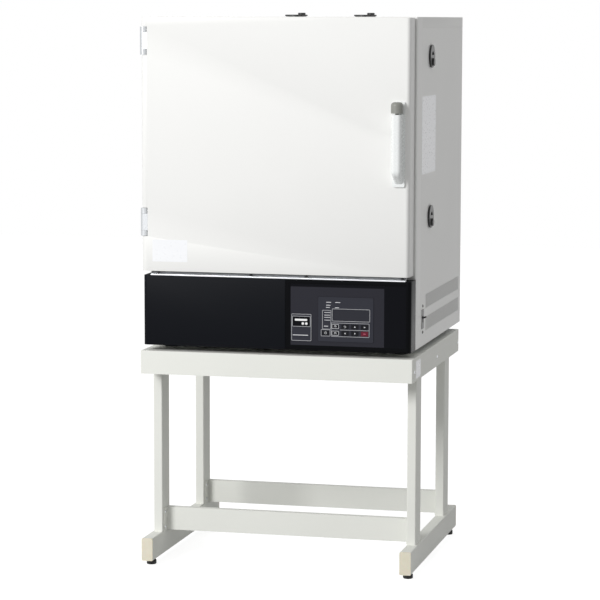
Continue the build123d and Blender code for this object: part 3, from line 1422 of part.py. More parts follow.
save("door_shell", door_shell())
save("door_inner_panel", door_inner_panel())
save("door_insulation", door_insulation())
save("door_gasket", door_gasket())
save("door_hinge_leaves", *[hinge_leaf(level) for level in HINGE_LEVELS])
save("hinge_brackets", *[hinge_bracket(level) for level in HINGE_LEVELS])
save("door_handle", door_handle(), catch(0))
save("handle_button", handle_button())

save("control_bezel", control_bezel())
save("control_panel_plate", control_panel_plate())
save("display_window", display_window())
save("control_board", control_board())
save("bezel_trim_strip", bezel_trim_strip())
KEY_NAMES = ("mode", "back", "up", "right", "power", "menu", "left", "down", "enter")
for key_name, key_place in zip(KEY_NAMES, key_places()):
    save(f"key_{key_name}", panel_key(*key_place))
save("breaker_body", breaker_body())
save("breaker_lever", breaker_lever())
save("cord_gland", cord_gland())
save("screws", *all_screws())
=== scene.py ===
import json
import math

import bmesh
import bpy
from bpy.props import FloatProperty, FloatVectorProperty, PointerProperty
from bpy.types import Operator, Panel, PropertyGroup
from mathutils import Matrix, Vector

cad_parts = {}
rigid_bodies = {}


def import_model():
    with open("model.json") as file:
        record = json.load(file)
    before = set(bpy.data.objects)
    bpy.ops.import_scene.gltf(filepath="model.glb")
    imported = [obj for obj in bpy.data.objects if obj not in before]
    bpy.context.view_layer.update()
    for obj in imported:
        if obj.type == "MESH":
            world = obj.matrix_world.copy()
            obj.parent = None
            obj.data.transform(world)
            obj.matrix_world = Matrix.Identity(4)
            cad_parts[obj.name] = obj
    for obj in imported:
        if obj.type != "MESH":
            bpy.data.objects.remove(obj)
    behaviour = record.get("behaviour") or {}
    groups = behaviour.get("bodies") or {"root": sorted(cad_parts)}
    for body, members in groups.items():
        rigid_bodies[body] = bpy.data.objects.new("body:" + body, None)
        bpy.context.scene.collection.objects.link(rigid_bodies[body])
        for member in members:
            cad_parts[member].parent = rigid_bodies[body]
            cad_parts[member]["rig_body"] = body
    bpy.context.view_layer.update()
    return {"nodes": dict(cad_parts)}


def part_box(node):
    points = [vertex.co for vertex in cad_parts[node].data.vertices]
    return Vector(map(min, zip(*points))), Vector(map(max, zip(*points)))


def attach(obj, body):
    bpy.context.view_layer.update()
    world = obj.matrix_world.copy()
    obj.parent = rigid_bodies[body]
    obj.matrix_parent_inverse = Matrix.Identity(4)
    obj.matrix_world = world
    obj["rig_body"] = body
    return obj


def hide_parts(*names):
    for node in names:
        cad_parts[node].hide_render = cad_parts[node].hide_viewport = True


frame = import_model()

bl_info = {
    "name": "Drying oven finishes",
    "version": (1, 0, 0),
    "blender": (4, 5, 0),
    "location": "3D View > Sidebar > Oven",
    "description": "Finishes and small parts of a forced-air drying oven on its stand",
    "category": "Add Mesh",
}

MM = 0.001

# Camera of the main view: its place in metres, its heading, tilt and roll in degrees, and its lens
# and sensor in millimetres
CAMERA_PLACE = (1.5722, -6.4811, 1.4326)
CAMERA_HEADING = 13.836
CAMERA_TILT = 6.469
CAMERA_ROLL = 0.128
CAMERA_LENS = 148.37
CAMERA_SENSOR = 36.0

# Lamp: its place, target and side in metres, and its power in watts
LAMP_PLACE = (-3.0, -5.6, 3.4)
LAMP_TARGET = (0.0, -0.3, 0.6)
LAMP_SIDE = 2.2
LAMP_POWER = 298

# Room and floor: the room's light on surfaces, as a share of its brightness to the eye, what the
# floor adds to the eye, and how far the floor reaches in metres
ROOM_SHARE = 0.46
FLOOR_GLOW = 0.84
FLOOR_REACH = 9.0

# Finishes: detail of their noise, and the part of its range that spans a finish's roughness
NOISE_DETAIL = 2.0
NOISE_LOW = 0.3
NOISE_HIGH = 0.7

# Reading CAD meshes: distance in millimetres at which vertices are joined, and the angle in degrees
# below which two faces are one flat face
MERGE_DISTANCE = 0.002
FLAT_ANGLE = 0.5

# Eased edges: segments, the least angle in degrees that is eased, and the ease on the housing in
# millimetres
EASE_SEGMENTS = 3
EASE_ANGLE = 50
HOUSING_EASE = 0.5

# Section of the bright strip, in millimetres: front lip, full height, the flat at the rear and the
# eased edge, then how far its screws move forward and up from the CAD strip to the slope
STRIP_LIP = 3.0
STRIP_RISE = 9.0
STRIP_FLAT = 2.0
STRIP_EASE = 0.4
STRIP_SCREW_FORWARD = 4.0
STRIP_SCREW_LIFT = 0.6

# Screw heads: faces round and over the dome, the block that cuts off its underside and the length
# of the recess, both in head radii, and in millimetres how near to a level a point counts as on it
HEAD_SEGMENTS = 24
HEAD_RINGS = 16
UNDERSIDE = 3.0
RECESS_LENGTH = 1.2
LEVEL_REACH = 0.1

# From the panel plate's left edge to the housing's split line, in millimetres: right of it is painted
# shade
SPLIT_OFFSET = 14.1

# Prints on the panel, in millimetres from the plate's lower left corner: x, z, width, height.
# The setter's dots are x and z, with one radius.
OVERLAY = (0.4, 0.4, 245.3, 150.8)
DISPLAY_FIELD = (73.3, 11.8, 144.9, 114.9)
DISPLAY_OPENING = (110.8, 65.6, 97.4, 30.4)
SETTER_FIELD = (2.9, 11.5, 52.4, 69.4)
SETTER_OPENING = (6.1, 49.2, 46.0, 25.0)
WINDOW_LINE = (109.8, 64.6, 99.4, 32.4)
KEYS_LINE = (107.2, 24.9, 100.6, 35.9)
KEYS_MIDDLE_LINE = (130.5, 42.1, 76.6, 1.1)
LAMPS_LINE = (84.2, 43.4, 23.2, 49.4)
POWER_LINE = (80.7, 25.2, 24.6, 17.6)
SETTER_WINDOW_LINE = (4.9, 48.0, 48.4, 27.4)
SETTER_BAR = (11.8, 63.0, 32.7, 5.2)
SETTER_FOOT_BAR = (6.4, 25.2, 40.5, 1.8)
SETTER_DOTS = ((32.9, 56.2), (42.2, 56.2))
SETTER_DOT_R = 3.4

# Steps in the panel plate, in millimetres: raised fields, and the setter's sunk view
FIELD_PROUD = 1.0
SETTER_SUNK = 0.8

# Corner radii of the prints, in millimetres
FIELD_CORNER = 3.0
OPENING_CORNER = 0.6
LINE_CORNER = 2.4
MIDDLE_LINE_CORNER = 0.4
BAR_CORNER = 0.5
SETTER_BAR_CORNER = 1.6
LEAST_CORNER = 0.05

# Small printed bars beside the lamps, in millimetres: x, z, width, height
DASHES = (
    (94.5, 112.2, 12.9, 1.5),
    (94.2, 104.8, 11.7, 1.5),
    (94.2, 99.0, 9.6, 1.5),
    (118.2, 112.3, 13.2, 1.5),
    (117.5, 98.8, 10.5, 1.5),
    (89.6, 85.9, 15.5, 1.3),
    (89.6, 79.2, 14.7, 1.3),
    (89.6, 73.4, 15.8, 1.3),
    (89.3, 66.3, 15.8, 1.3),
    (88.8, 50.4, 10.9, 1.8),
)

# Blank labels, in millimetres: x or y, z, width and height, with their corner radii
DOOR_LABEL = (-329.0, 808.0, 94.0, 57.0)
SIDE_LABEL = (-232.0, 1036.0, 185.0, 201.0)
STAND_LABEL = (-324.0, 519.0, 60.0, 46.0)
DOOR_LABEL_CORNER = 2.0
SIDE_LABEL_CORNER = 5.0


def linear(code):
    """An sRGB hex value as the linear colour that a shader reads."""
    channels = [int(code[start:start + 2], 16) / 255 for start in (0, 2, 4)]
    curve = [c / 12.92 if c <= 0.04045 else ((c + 0.055) / 1.055) ** 2.4 for c in channels]
    return (*curve, 1.0)


def add_node(tree, kind, settings=None, inputs=None):
    """Add a node, set its options, and fill or link its inputs."""
    node = tree.nodes.new(kind)
    for option, value in (settings or {}).items():
        setattr(node, option, value)
    for socket, value in (inputs or {}).items():
        if isinstance(value, bpy.types.NodeSocket):
            tree.links.new(value, node.inputs[socket])
        else:
            node.inputs[socket].default_value = value
    return node


def cleared(holder):
    """Node tree of a material or world, emptied."""
    holder.use_nodes = True
    holder.node_tree.nodes.clear()
    return holder.node_tree


# Finishes

EVEN = (1.0, 1.0, 1.0)


def pattern(tree, place, size_mm, stretch=EVEN):
    """Soft random pattern whose patches are about as large as the given size."""
    scale = [share / (size_mm * MM) for share in stretch]
    spot = add_node(tree, "ShaderNodeMapping", inputs={"Vector": place, "Scale": scale})
    noise = {"Vector": spot.outputs["Vector"], "Scale": 1.0, "Detail": NOISE_DETAIL}
    return add_node(tree, "ShaderNodeTexNoise", inputs=noise).outputs["Fac"]


def finish(name, colours, patch_mm, roughness, grain_mm, depth_mm, stretch=EVEN, **surface):
    """Material of two close colours in soft patches, with a grain in its roughness and relief."""
    made = bpy.data.materials.new(name)
    tree = cleared(made)
    place = add_node(tree, "ShaderNodeTexCoord").outputs["Object"]
    patches = pattern(tree, place, patch_mm)
    grain = pattern(tree, place, grain_mm, stretch)
    tint = {0: patches, 6: linear(colours[0]), 7: linear(colours[1])}
    colour = add_node(tree, "ShaderNodeMix", {"data_type": "RGBA"}, tint).outputs[2]
    spread = {"Value": grain, "From Min": NOISE_LOW, "From Max": NOISE_HIGH}
    spread.update({"To Min": roughness[0], "To Max": roughness[1]})
    rough = add_node(tree, "ShaderNodeMapRange", inputs=spread).outputs["Result"]
    relief = {"Height": grain, "Strength": 1.0, "Distance": depth_mm * MM}
    normal = add_node(tree, "ShaderNodeBump", inputs=relief).outputs["Normal"]
    sockets = {"Base Color": colour, "Roughness": rough, "Normal": normal}
    sockets.update({label.replace("_", " "): value for label, value in surface.items()})
    shader = add_node(tree, "ShaderNodeBsdfPrincipled", inputs=sockets)
    add_node(tree, "ShaderNodeOutputMaterial", inputs={"Surface": shader.outputs["BSDF"]})
    return made


def plastic(name, colours, patch_mm, roughness, grain_mm, depth_mm, sheen):
    """Paint, film or moulded plastic with the usual refraction, and its own strength of sheen."""
    shine = {"IOR": 1.5, "Specular_IOR_Level": sheen}
    return finish(name, colours, patch_mm, roughness, grain_mm, depth_mm, **shine)


def ink(name, colours, patch_mm):
    """Screen-printed ink: flat and dull, with hardly any relief."""
    return finish(name, colours, patch_mm, (0.50, 0.60), 1, 0.002, IOR=1.5)


def casing_enamel():
    """Baked acrylic enamel, sprayed on zinc-coated sheet: bright white with an even soft gloss.
    Its orange peel is finer than a millimetre, and is drawn at 5 mm so that it shows."""
    return plastic("baked_enamel_white", ("F1F1EF", "EDEDEB"), 320, (0.42, 0.50), 5, 0.012, 0.3)


def stand_enamel():
    """Powder coat on steel tube: off-white, less glossy and more grained than the casing."""
    return plastic("powder_coat_offwhite", ("EDEEE8", "E7E8E2"), 260, (0.50, 0.60), 4, 0.03, 0.3)


def brushed_stainless():
    """Stainless sheet with a brushed finish: grey metal with fine level lines in its highlights.
    The grit lines are drawn 1.5 mm apart, coarser than real, so that they show."""
    colours = ("CBC9C4", "BDBBB6")
    level_lines = (1.0, 1.0, 40.0)
    return finish("brushed_stainless", colours, 180, (0.24, 0.38), 60, 0.02, level_lines, Metallic=1.0)


def drawn_stainless():
    """Bright drawn stainless wire and rod: smooth, with sharp thin highlights."""
    return finish("drawn_stainless", ("D2D0CC", "C4C2BE"), 90, (0.16, 0.26), 3, 0.01, Metallic=1.0)


def galvanised_sheet():
    """Hot-dip galvanised steel: dull grey metal with crystals as blotches about 15 mm wide."""
    return finish("galvanised_sheet", ("B9BCBE", "9DA1A4"), 15, (0.38, 0.56), 9, 0.02, Metallic=1.0)


def zinc_plate():
    """Bright zinc plating on screws: light metal with small uneven highlights."""
    return finish("zinc_plated_steel", ("D6D8DA", "C3C6C9"), 4, (0.22, 0.34), 2, 0.02, Metallic=1.0)


def bezel_plastic():
    """Moulded black ABS with a fine spark-eroded grain: blue-black with a dull sheen."""
    return plastic("moulded_abs_black", ("0A0D12", "0E0F14"), 240, (0.40, 0.50), 2, 0.03, 0.06)


def bezel_painted_shade_plastic():
    """Smoother black ABS round the panel: deeper black than the rest of the housing, which is painted
    shade.
    """
    return plastic("polished_abs_black_painted_shade", ("040508", "06070A"), 120, (0.30, 0.38), 3, 0.01, 0.05)


def panel_film():
    """Matt printed film over the panel's left part: dark slate, lighter than the housing."""
    return plastic("printed_film_slate", ("24242B", "27272F"), 120, (0.44, 0.52), 1.5, 0.01, 0.12)


def plate_film():
    """Blue-black film on the bare part of the panel plate."""
    colours = ("08090E", "0A0B10")
    return plastic("printed_film_blue_black", colours, 120, (0.44, 0.52), 1.5, 0.01, 0.05)


def field_film():
    """The same film on the raised fields, printed a shade lighter."""
    return plastic("printed_film_grey", ("2D2E36", "31323A"), 70, (0.44, 0.52), 1.5, 0.01, 0.12)


def key_film():
    """Embossed key tops in the same film, printed black."""
    return plastic("printed_film_black", ("0D0E13", "111218"), 20, (0.40, 0.50), 1.5, 0.01, 0.12)


def red_key_film():
    """Embossed key top with a dark wine-red print."""
    return plastic("printed_film_red", ("5E1C2B", "6A2232"), 12, (0.40, 0.50), 1.5, 0.01, 0.12)


def white_ink():
    """Screen-printed white ink: flat, slightly grey, with the film's soft sheen."""
    return ink("screen_ink_white", ("A9AAAE", "B4B5B8"), 6)


def bright_ink():
    """Opaque white of the limit setter's bar and dials: brighter than the outlines."""
    return ink("screen_ink_bright", ("F2F2F2", "E8E8E8"), 6)


def bar_ink():
    """Light grey ink of the small bars and the key symbols."""
    return ink("screen_ink_light", ("D4D5D8", "DCDDE0"), 6)


def rose_ink():
    """Pink print of the symbol on the red key."""
    return ink("screen_ink_rose", ("C95A72", "D26A80"), 5)


def tinted_acrylic():
    """Smoked acrylic window: nearly black, and glossy enough to mirror the room."""
    surface = {"IOR": 1.49, "Specular_IOR_Level": 0.15}
    return finish("smoked_acrylic", ("26272F", "2A2B33"), 60, (0.10, 0.14), 8, 0.002, **surface)


def damper_plastic():
    """Moulded black phenolic: deep black with a satin skin and clear edge highlights."""
    colours = ("0D0D0E", "151516")
    return finish("moulded_phenolic_black", colours, 18, (0.30, 0.42), 2, 0.02, IOR=1.55)


def strip_aluminium():
    """Extruded and anodised aluminium: pale metal with fine lines along its length."""
    colours = ("E0E2E5", "D2D4D8")
    along = (1.0, 24.0, 24.0)
    return finish("anodised_aluminium", colours, 140, (0.26, 0.36), 40, 0.01, along, Metallic=1.0)


def handle_plastic():
    """Moulded ABS grip: bright white, faintly cool, smoother and glossier than the enamel."""
    return finish("moulded_abs_white", ("F2F4F3", "EEF1F0"), 60, (0.24, 0.30), 4, 0.006, IOR=1.52)


def button_plastic():
    """Moulded grey ABS thumb button: mid grey, a little olive, satin."""
    return finish("moulded_abs_grey", ("8E8F8A", "85867F"), 20, (0.34, 0.44), 2, 0.02, IOR=1.5)


def cap_plastic():
    """Moulded polyethylene end caps: cream, waxy and slightly uneven."""
    colours = ("F0E6D2", "E6DBC6")
    wax = {"IOR": 1.5, "Subsurface_Weight": 0.1}
    return finish("moulded_polyethylene_cream", colours, 22, (0.42, 0.54), 3, 0.04, **wax)


def foot_rubber():
    """Black moulded rubber: dark, dull, with a powdery bloom."""
    return finish("moulded_rubber_black", ("151515", "1D1D1C"), 10, (0.62, 0.78), 2, 0.05, IOR=1.5)


def gasket_silicone():
    """Extruded silicone rubber gasket: brick red, matt and slightly waxy."""
    colours = ("8A3A2C", "7D3226")
    return finish("extruded_silicone_red", colours, 30, (0.50, 0.64), 3, 0.04, IOR=1.42)


def mineral_wool():
    """Mineral wool slab: dull yellow-grey fibres in coarse tufts."""
    return finish("mineral_wool", ("B9AE86", "8F8460"), 9, (0.85, 0.95), 3, 1.2, IOR=1.5)


def board_laminate():
    """Glass-fibre circuit board under green solder mask: even dark green with a wet gloss."""
    return finish("solder_mask_green", ("0F4A2B", "165636"), 8, (0.26, 0.36), 1.5, 0.03, IOR=1.5)


def motor_enamel():
    """Dipped grey enamel on a cast motor case: dull, with the casting's coarse skin."""
    return finish("cast_case_grey", ("4A4E53", "3F4348"), 14, (0.46, 0.60), 3, 0.12, IOR=1.5)


def heater_sheath():
    """Heat-tinted stainless sheath of the heater: brown and straw oxide over grey metal."""
    colours = ("7C6A58", "595552")
    return finish("heat_tinted_sheath", colours, 16, (0.34, 0.50), 4, 0.02, Metallic=1.0)


def label_vinyl():
    """Blank vinyl label: plain white with a slight shine, a touch cooler than the enamel."""
    return finish("vinyl_label_white", ("F7F8FA", "F3F4F7"), 50, (0.26, 0.34), 6, 0.004, IOR=1.5)


FINISHES = {
    "casing": casing_enamel,
    "stand": stand_enamel,
    "stainless": brushed_stainless,
    "wire": drawn_stainless,
    "galvanised": galvanised_sheet,
    "zinc": zinc_plate,
    "bezel": bezel_plastic,
    "surround": bezel_painted_shade_plastic,
    "panel": panel_film,
    "plate": plate_film,
    "field": field_film,
    "key": key_film,
    "red_key": red_key_film,
    "ink": white_ink,
    "bright_ink": bright_ink,
    "bar_ink": bar_ink,
    "rose_ink": rose_ink,
    "window": tinted_acrylic,
    "damper": damper_plastic,
    "strip": strip_aluminium,
    "handle": handle_plastic,
    "button": button_plastic,
    "cap": cap_plastic,
    "rubber": foot_rubber,
    "gasket": gasket_silicone,
    "wool": mineral_wool,
    "board": board_laminate,
    "motor": motor_enamel,
    "heater": heater_sheath,
    "label": label_vinyl,
}
made_finishes = {}


def coat(key):
    """The finish under its short name, made when it is first asked for."""
    if key not in made_finishes:
        made_finishes[key] = FINISHES[key]()
    return made_finishes[key]


def nodes_of(start):
    """Names of the CAD nodes that begin alike."""
    return [name for name in frame["nodes"] if name.startswith(start)]


def paint(key, *nodes):
    """Give CAD nodes a finish through their own material slots."""
    for name in nodes:
        part = frame["nodes"][name]
        if not part.material_slots:
            part.data.materials.append(coat(key))
        for slot in part.material_slots:
            slot.material = coat(key)


# Pieces

def add_piece(name, mesh, body, key=None, replaced=()):
    """Put a finished mesh in the scene as a piece of the oven."""
    if key:
        mesh.materials.clear()
        mesh.materials.append(coat(key))
    part = bpy.data.objects.new(name, mesh)
    bpy.context.scene.collection.objects.link(part)
    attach(part, body)
    if replaced:
        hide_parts(*replaced)
    return part


def node_body(node):
    """Name of the body that a CAD node rides on."""
    return frame["nodes"][node]["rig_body"]


def merged_copy(node):
    """A CAD node's mesh with its faces joined at their edges."""
    work = bmesh.new()
    work.from_mesh(frame["nodes"][node].data)
    bmesh.ops.remove_doubles(work, verts=work.verts, dist=MERGE_DISTANCE * MM)
    return work


def soften(node, width_mm, key):
    """Replace a CAD node by its own shape with its sharp edges eased."""
    work = merged_copy(node)
    flat = math.radians(FLAT_ANGLE)
    bmesh.ops.dissolve_limit(work, angle_limit=flat, verts=work.verts, edges=work.edges)
    mesh = bpy.data.meshes.new(f"{node}_eased")
    work.to_mesh(mesh)
    work.free()
    mesh.shade_smooth()
    part = add_piece(f"{node}_eased", mesh, node_body(node), key, (node,))
    bevel = part.modifiers.new("eased_edges", "BEVEL")
    bevel.width = width_mm * MM
    bevel.segments = EASE_SEGMENTS
    bevel.limit_method = "ANGLE"
    bevel.angle_limit = math.radians(EASE_ANGLE)
    bevel.harden_normals = True
    return part


def rounded_outline(x, z, width, height, radius, steps=6):
    """Corner points of a rounded rectangle in the panel's plane, anticlockwise."""
    points = []
    radius = min(radius, width / 2, height / 2)
    corners = (
        (x + width - radius, z + radius, -90),
        (x + width - radius, z + height - radius, 0),
        (x + radius, z + height - radius, 90),
        (x + radius, z + radius, 180),
    )
    for cx, cz, start in corners:
        for step in range(steps + 1):
            angle = math.radians(start + 90 * step / steps)
            points.append((cx + radius * math.cos(angle), cz + radius * math.sin(angle)))
    return points


def prism(section, start, end, ease, name):
    """Closed bar along x with the given corners in y and z, and eased edges."""
    work = bmesh.new()
    rings = [[work.verts.new((x, y, z)) for y, z in section] for x in (start, end)]
    count = len(section)
    for index in range(count):
        after = (index + 1) % count
        work.faces.new((rings[0][index], rings[0][after], rings[1][after], rings[1][index]))
    work.faces.new(rings[0][::-1])
    work.faces.new(rings[1])
    bmesh.ops.recalc_face_normals(work, faces=work.faces)
    edges = list(work.edges)
    bmesh.ops.bevel(work, geom=edges, offset=ease, segments=2, affect="EDGES", profile=0.5)
    made = bpy.data.meshes.new(name)
    work.to_mesh(made)
    work.free()
    return made


class FlatWork:
    """Thin closed shapes on a plane that faces the front, gathered in one mesh.
    Sizes are in metres. A quarter of the depth is set into the face."""

    def __init__(self, origin_x, origin_z, face_y, depth):
        self.work = bmesh.new()
        self.origin = (origin_x, origin_z)
        self.y = (face_y - depth, face_y + depth / 4)

    def _ring(self, points, y):
        return [self.work.verts.new((self.origin[0] + x, y, self.origin[1] + z)) for x, z in points]

    def _walls(self, front, rear, outward):
        count = len(front)
        for index in range(count):
            after = (index + 1) % count
            quad = (front[index], rear[index], rear[after], front[after])
            self.work.faces.new(quad if not outward else quad[::-1])

    def solid(self, points):
        """Filled shape from anticlockwise points."""
        front = self._ring(points, self.y[0])
        rear = self._ring(points, self.y[1])
        self.work.faces.new(front)
        self.work.faces.new(rear[::-1])
        self._walls(front, rear, True)

    def band(self, outer, inner):
        """Closed band between two outlines with the same number of points."""
        rings = [self._ring(points, y) for points in (outer, inner) for y in self.y]
        outer_front, outer_rear, inner_front, inner_rear = rings
        count = len(outer)
        for index in range(count):
            after = (index + 1) % count
            front = (outer_front[index], outer_front[after], inner_front[after], inner_front[index])
            rear = (outer_rear[index], inner_rear[index], inner_rear[after], outer_rear[after])
            self.work.faces.new(front)
            self.work.faces.new(rear)
        self._walls(outer_front, outer_rear, True)
        self._walls(inner_front, inner_rear, False)

    def outline(self, box, radius, line):
        """Outlined rounded rectangle."""
        x, z, width, height = box
        inner_box = (x + line, z + line, width - 2 * line, height - 2 * line)
        outer = rounded_outline(x, z, width, height, radius)
        self.band(outer, rounded_outline(*inner_box, radius - line))

    def bar(self, box, radius=0.0):
        """Filled rounded rectangle."""
        x, z, width, height = box
        self.solid(rounded_outline(x, z, width, height, max(radius, LEAST_CORNER * MM)))

    def disc(self, x, z, radius, steps=24):
        """Filled circle."""
        angles = [2 * math.pi * step / steps for step in range(steps)]
        self.solid([(x + radius * math.cos(a), z + radius * math.sin(a)) for a in angles])

    def arc(self, x, z, radius, line, start, end, steps=16):
        """Part of a ring between two angles in degrees."""
        angles = [math.radians(start + (end - start) * step / steps) for step in range(steps + 1)]
        outer, inner = [
            [(x + reach * math.cos(a), z + reach * math.sin(a)) for a in angles]
            for reach in (radius, radius - line)
        ]
        self.solid(outer + inner[::-1])

    def mesh(self, name):
        """The gathered shapes as a mesh with outward faces."""
        bmesh.ops.recalc_face_normals(self.work, faces=self.work.faces)
        made = bpy.data.meshes.new(name)
        self.work.to_mesh(made)
        self.work.free()
        return made


def in_metres(values):
    """Millimetres in metres."""
    return tuple(value * MM for value in values)


# Geometry Nodes

def geometry_tree(name, inputs):
    """Geometry Nodes tree with a geometry input and output and the named inputs."""
    tree = bpy.data.node_groups.new(name, "GeometryNodeTree")
    tree.interface.new_socket("Geometry", in_out="INPUT", socket_type="NodeSocketGeometry")
    for label, kind in inputs.items():
        tree.interface.new_socket(label, in_out="INPUT", socket_type=f"NodeSocket{kind}")
    tree.interface.new_socket("Geometry", in_out="OUTPUT", socket_type="NodeSocketGeometry")
    source = add_node(tree, "NodeGroupInput")
    return tree, source.outputs


def stored(tree, kind, name):
    """The named value that every point carries."""
    asked = {"Name": name}
    node = add_node(tree, "GeometryNodeInputNamedAttribute", {"data_type": kind}, asked)
    return node.outputs["Attribute"]


def close_tree(tree, instances, key, dark_key):
    """End a tree: real geometry, then its finish, with a second finish where "dark" is set."""
    solid = add_node(tree, "GeometryNodeRealizeInstances", inputs={"Geometry": instances})
    coated = {"Geometry": solid.outputs["Geometry"], "Material": coat(key)}
    light = add_node(tree, "GeometryNodeSetMaterial", inputs=coated)
    coated = {"Geometry": light.outputs["Geometry"], "Material": coat(dark_key)}
    coated["Selection"] = stored(tree, "BOOLEAN", "dark")
    last = add_node(tree, "GeometryNodeSetMaterial", inputs=coated)
    add_node(tree, "NodeGroupOutput", inputs={"Geometry": last.outputs["Geometry"]})


def aimed_copies(tree, points, instance):
    """Put an instance on every point, with its own Z axis along the point's aim."""
    turn = {"Vector": stored(tree, "FLOAT_VECTOR", "aim")}
    turned = add_node(tree, "FunctionNodeAlignRotationToVector", {"axis": "Z"}, turn)
    places = {"Points": points, "Instance": instance, "Rotation": turned.outputs["Rotation"]}
    return add_node(tree, "GeometryNodeInstanceOnPoints", inputs=places).outputs["Instances"]


def calculated(tree, operation, first, second):
    """Result of an operation on two numbers in a tree."""
    numbers = {0: first, 1: second}
    return add_node(tree, "ShaderNodeMath", {"operation": operation}, numbers).outputs[0]


def vector(tree, x=0.0, y=0.0, z=0.0):
    """Three numbers in a tree as one vector."""
    return add_node(tree, "ShaderNodeCombineXYZ", inputs={"X": x, "Y": y, "Z": z}).outputs["Vector"]


def grow(name, points, tree, values, aims, darks):
    """Plain mesh that a tree makes from points, with their aims and dark flags."""
    seed = bpy.data.meshes.new(f"{name}_points")
    seed.from_pydata([tuple(point) for point in points], [], [])
    attribute = seed.attributes.new("aim", "FLOAT_VECTOR", "POINT")
    attribute.data.foreach_set("vector", [value for aim in aims for value in aim])
    attribute = seed.attributes.new("dark", "BOOLEAN", "POINT")
    attribute.data.foreach_set("value", darks)
    host = bpy.data.objects.new(f"{name}_host", seed)
    bpy.context.scene.collection.objects.link(host)
    modifier = host.modifiers.new("build", "NODES")
    modifier.node_group = tree
    for item in tree.interface.items_tree:
        if item.item_type == "SOCKET" and item.in_out == "INPUT" and item.name in values:
            modifier[item.identifier] = values[item.name]
    bpy.context.view_layer.update()
    evaluated = host.evaluated_get(bpy.context.evaluated_depsgraph_get())
    made = bpy.data.meshes.new_from_object(evaluated)
    made.name = name
    host.modifiers.remove(modifier)
    bpy.data.objects.remove(host)
    if not made.polygons:
        raise RuntimeError(f"{name}: the tree made no faces")
    return made


def islands(node):
    """Lists of vertex places, one for each separate solid of a CAD node, in the mesh's own order."""
    work = merged_copy(node)
    seen = set()
    groups = []
    for first in work.verts:
        if first in seen:
            continue
        seen.add(first)
        waiting = [first]
        group = []
        while waiting:
            vert = waiting.pop()
            group.append(vert.co.copy())
            for edge in vert.link_edges:
                other = edge.other_vert(vert)
                if other not in seen:
                    seen.add(other)
                    waiting.append(other)
        groups.append(group)
    work.free()
    return groups


def seat_and_aim(places):
    """Seat and outward direction of a screw head, thin along its axis and widest at its seat."""
    lows = [min(place[axis] for place in places) for axis in range(3)]
    highs = [max(place[axis] for place in places) for axis in range(3)]
    middle = Vector([(low + high) / 2 for low, high in zip(lows, highs)])
    axis = min(range(3), key=lambda k: highs[k] - lows[k])

    def reach(level):
        near = [place for place in places if abs(place[axis] - level) < LEVEL_REACH * MM]
        return max((place - middle).length for place in near)

    outward = 1 if reach(lows[axis]) > reach(highs[axis]) else -1
    aim = Vector((0, 0, 0))
    aim[axis] = outward
    seat = middle.copy()
    seat[axis] = lows[axis] if outward > 0 else highs[axis]
    return seat, aim


# Settings

class OvenSizes(PropertyGroup):
    """Sizes of the small parts that finish the oven."""

    edge_width: FloatProperty(
        name="Folded edge", description="Ease on the folded sheet edges",
        default=1.2 * MM, min=0.1 * MM, max=4 * MM, unit="LENGTH")
    ink_depth: FloatProperty(
        name="Ink depth", description="Thickness of the printed marks",
        default=0.06 * MM, min=0.02 * MM, max=0.3 * MM, unit="LENGTH")
    line_width: FloatProperty(
        name="Printed line", description="Width of the printed outlines",
        default=1.1 * MM, min=0.2 * MM, max=2 * MM, unit="LENGTH")
    film_depth: FloatProperty(
        name="Film depth", description="Thickness of the printed films on the panel",
        default=0.05 * MM, min=0.02 * MM, max=0.3 * MM, unit="LENGTH")
    dial_depth: FloatProperty(
        name="Setter depth", description="Height of the limit setter's bar and dials",
        default=1.0 * MM, min=0.2 * MM, max=2 * MM, unit="LENGTH")
    label_depth: FloatProperty(
        name="Label depth", description="Thickness of the blank labels",
        default=0.2 * MM, min=0.05 * MM, max=1 * MM, unit="LENGTH")
    screw_radius: FloatProperty(
        name="Screw head radius", description="Radius of the screw heads",
        default=4 * MM, min=1 * MM, max=6 * MM, unit="LENGTH")
    screw_height: FloatProperty(
        name="Screw head height", description="Height of the domed screw heads",
        default=2.2 * MM, min=0.5 * MM, max=4 * MM, unit="LENGTH")
    recess_width: FloatProperty(
        name="Screw recess", description="Width of the cross recess in the screw heads",
        default=1.1 * MM, min=0.4 * MM, max=2 * MM, unit="LENGTH")


class OvenColours(PropertyGroup):
    """Colours that a user may change."""

    floor: FloatVectorProperty(
        name="Floor", description="Colour of the studio floor",
        default=linear("B4B4B4"), size=4, min=0, max=1, subtype="COLOR")
    backdrop: FloatVectorProperty(
        name="Backdrop", description="Colour of the room behind the oven",
        default=linear("FFFFFF"), size=4, min=0, max=1, subtype="COLOR")


class OVEN_OT_casing(Operator):
    """Finish the casing's sheets, its chassis and its rear fittings"""
    bl_idname = "oven.casing"
    bl_label = "Casing"

    def execute(self, context):
        sizes = context.scene.oven_sizes
        edge = sizes.edge_width / MM
        soften("front_frame", edge, "casing")
        soften("top_cover", edge, "casing")
        paint("casing", "side_panel_left", "side_panel_right", "rear_panel", "motor_cover")
        paint("galvanised", "base_pan", "inner_chassis")
        paint("rubber", "oven_feet")
        paint("damper", "cord_gland")
        return {"FINISHED"}


class OVEN_OT_chamber(Operator):
    """Finish the chamber, its shelves and the air circulation behind it"""
    bl_idname = "oven.chamber"
    bl_label = "Chamber"

    def execute(self, context):
        paint("stainless", "chamber_liner", "fan_duct_plate", "fan_impeller")
        paint("stainless", "shelf_uprights", "shelf_clips")
        paint("wire", "wire_shelves", "temperature_probes")
        paint("heater", "heater_element")
        paint("motor", "fan_motor")
        paint("wool", "chamber_insulation", "door_insulation")
        return {"FINISHED"}


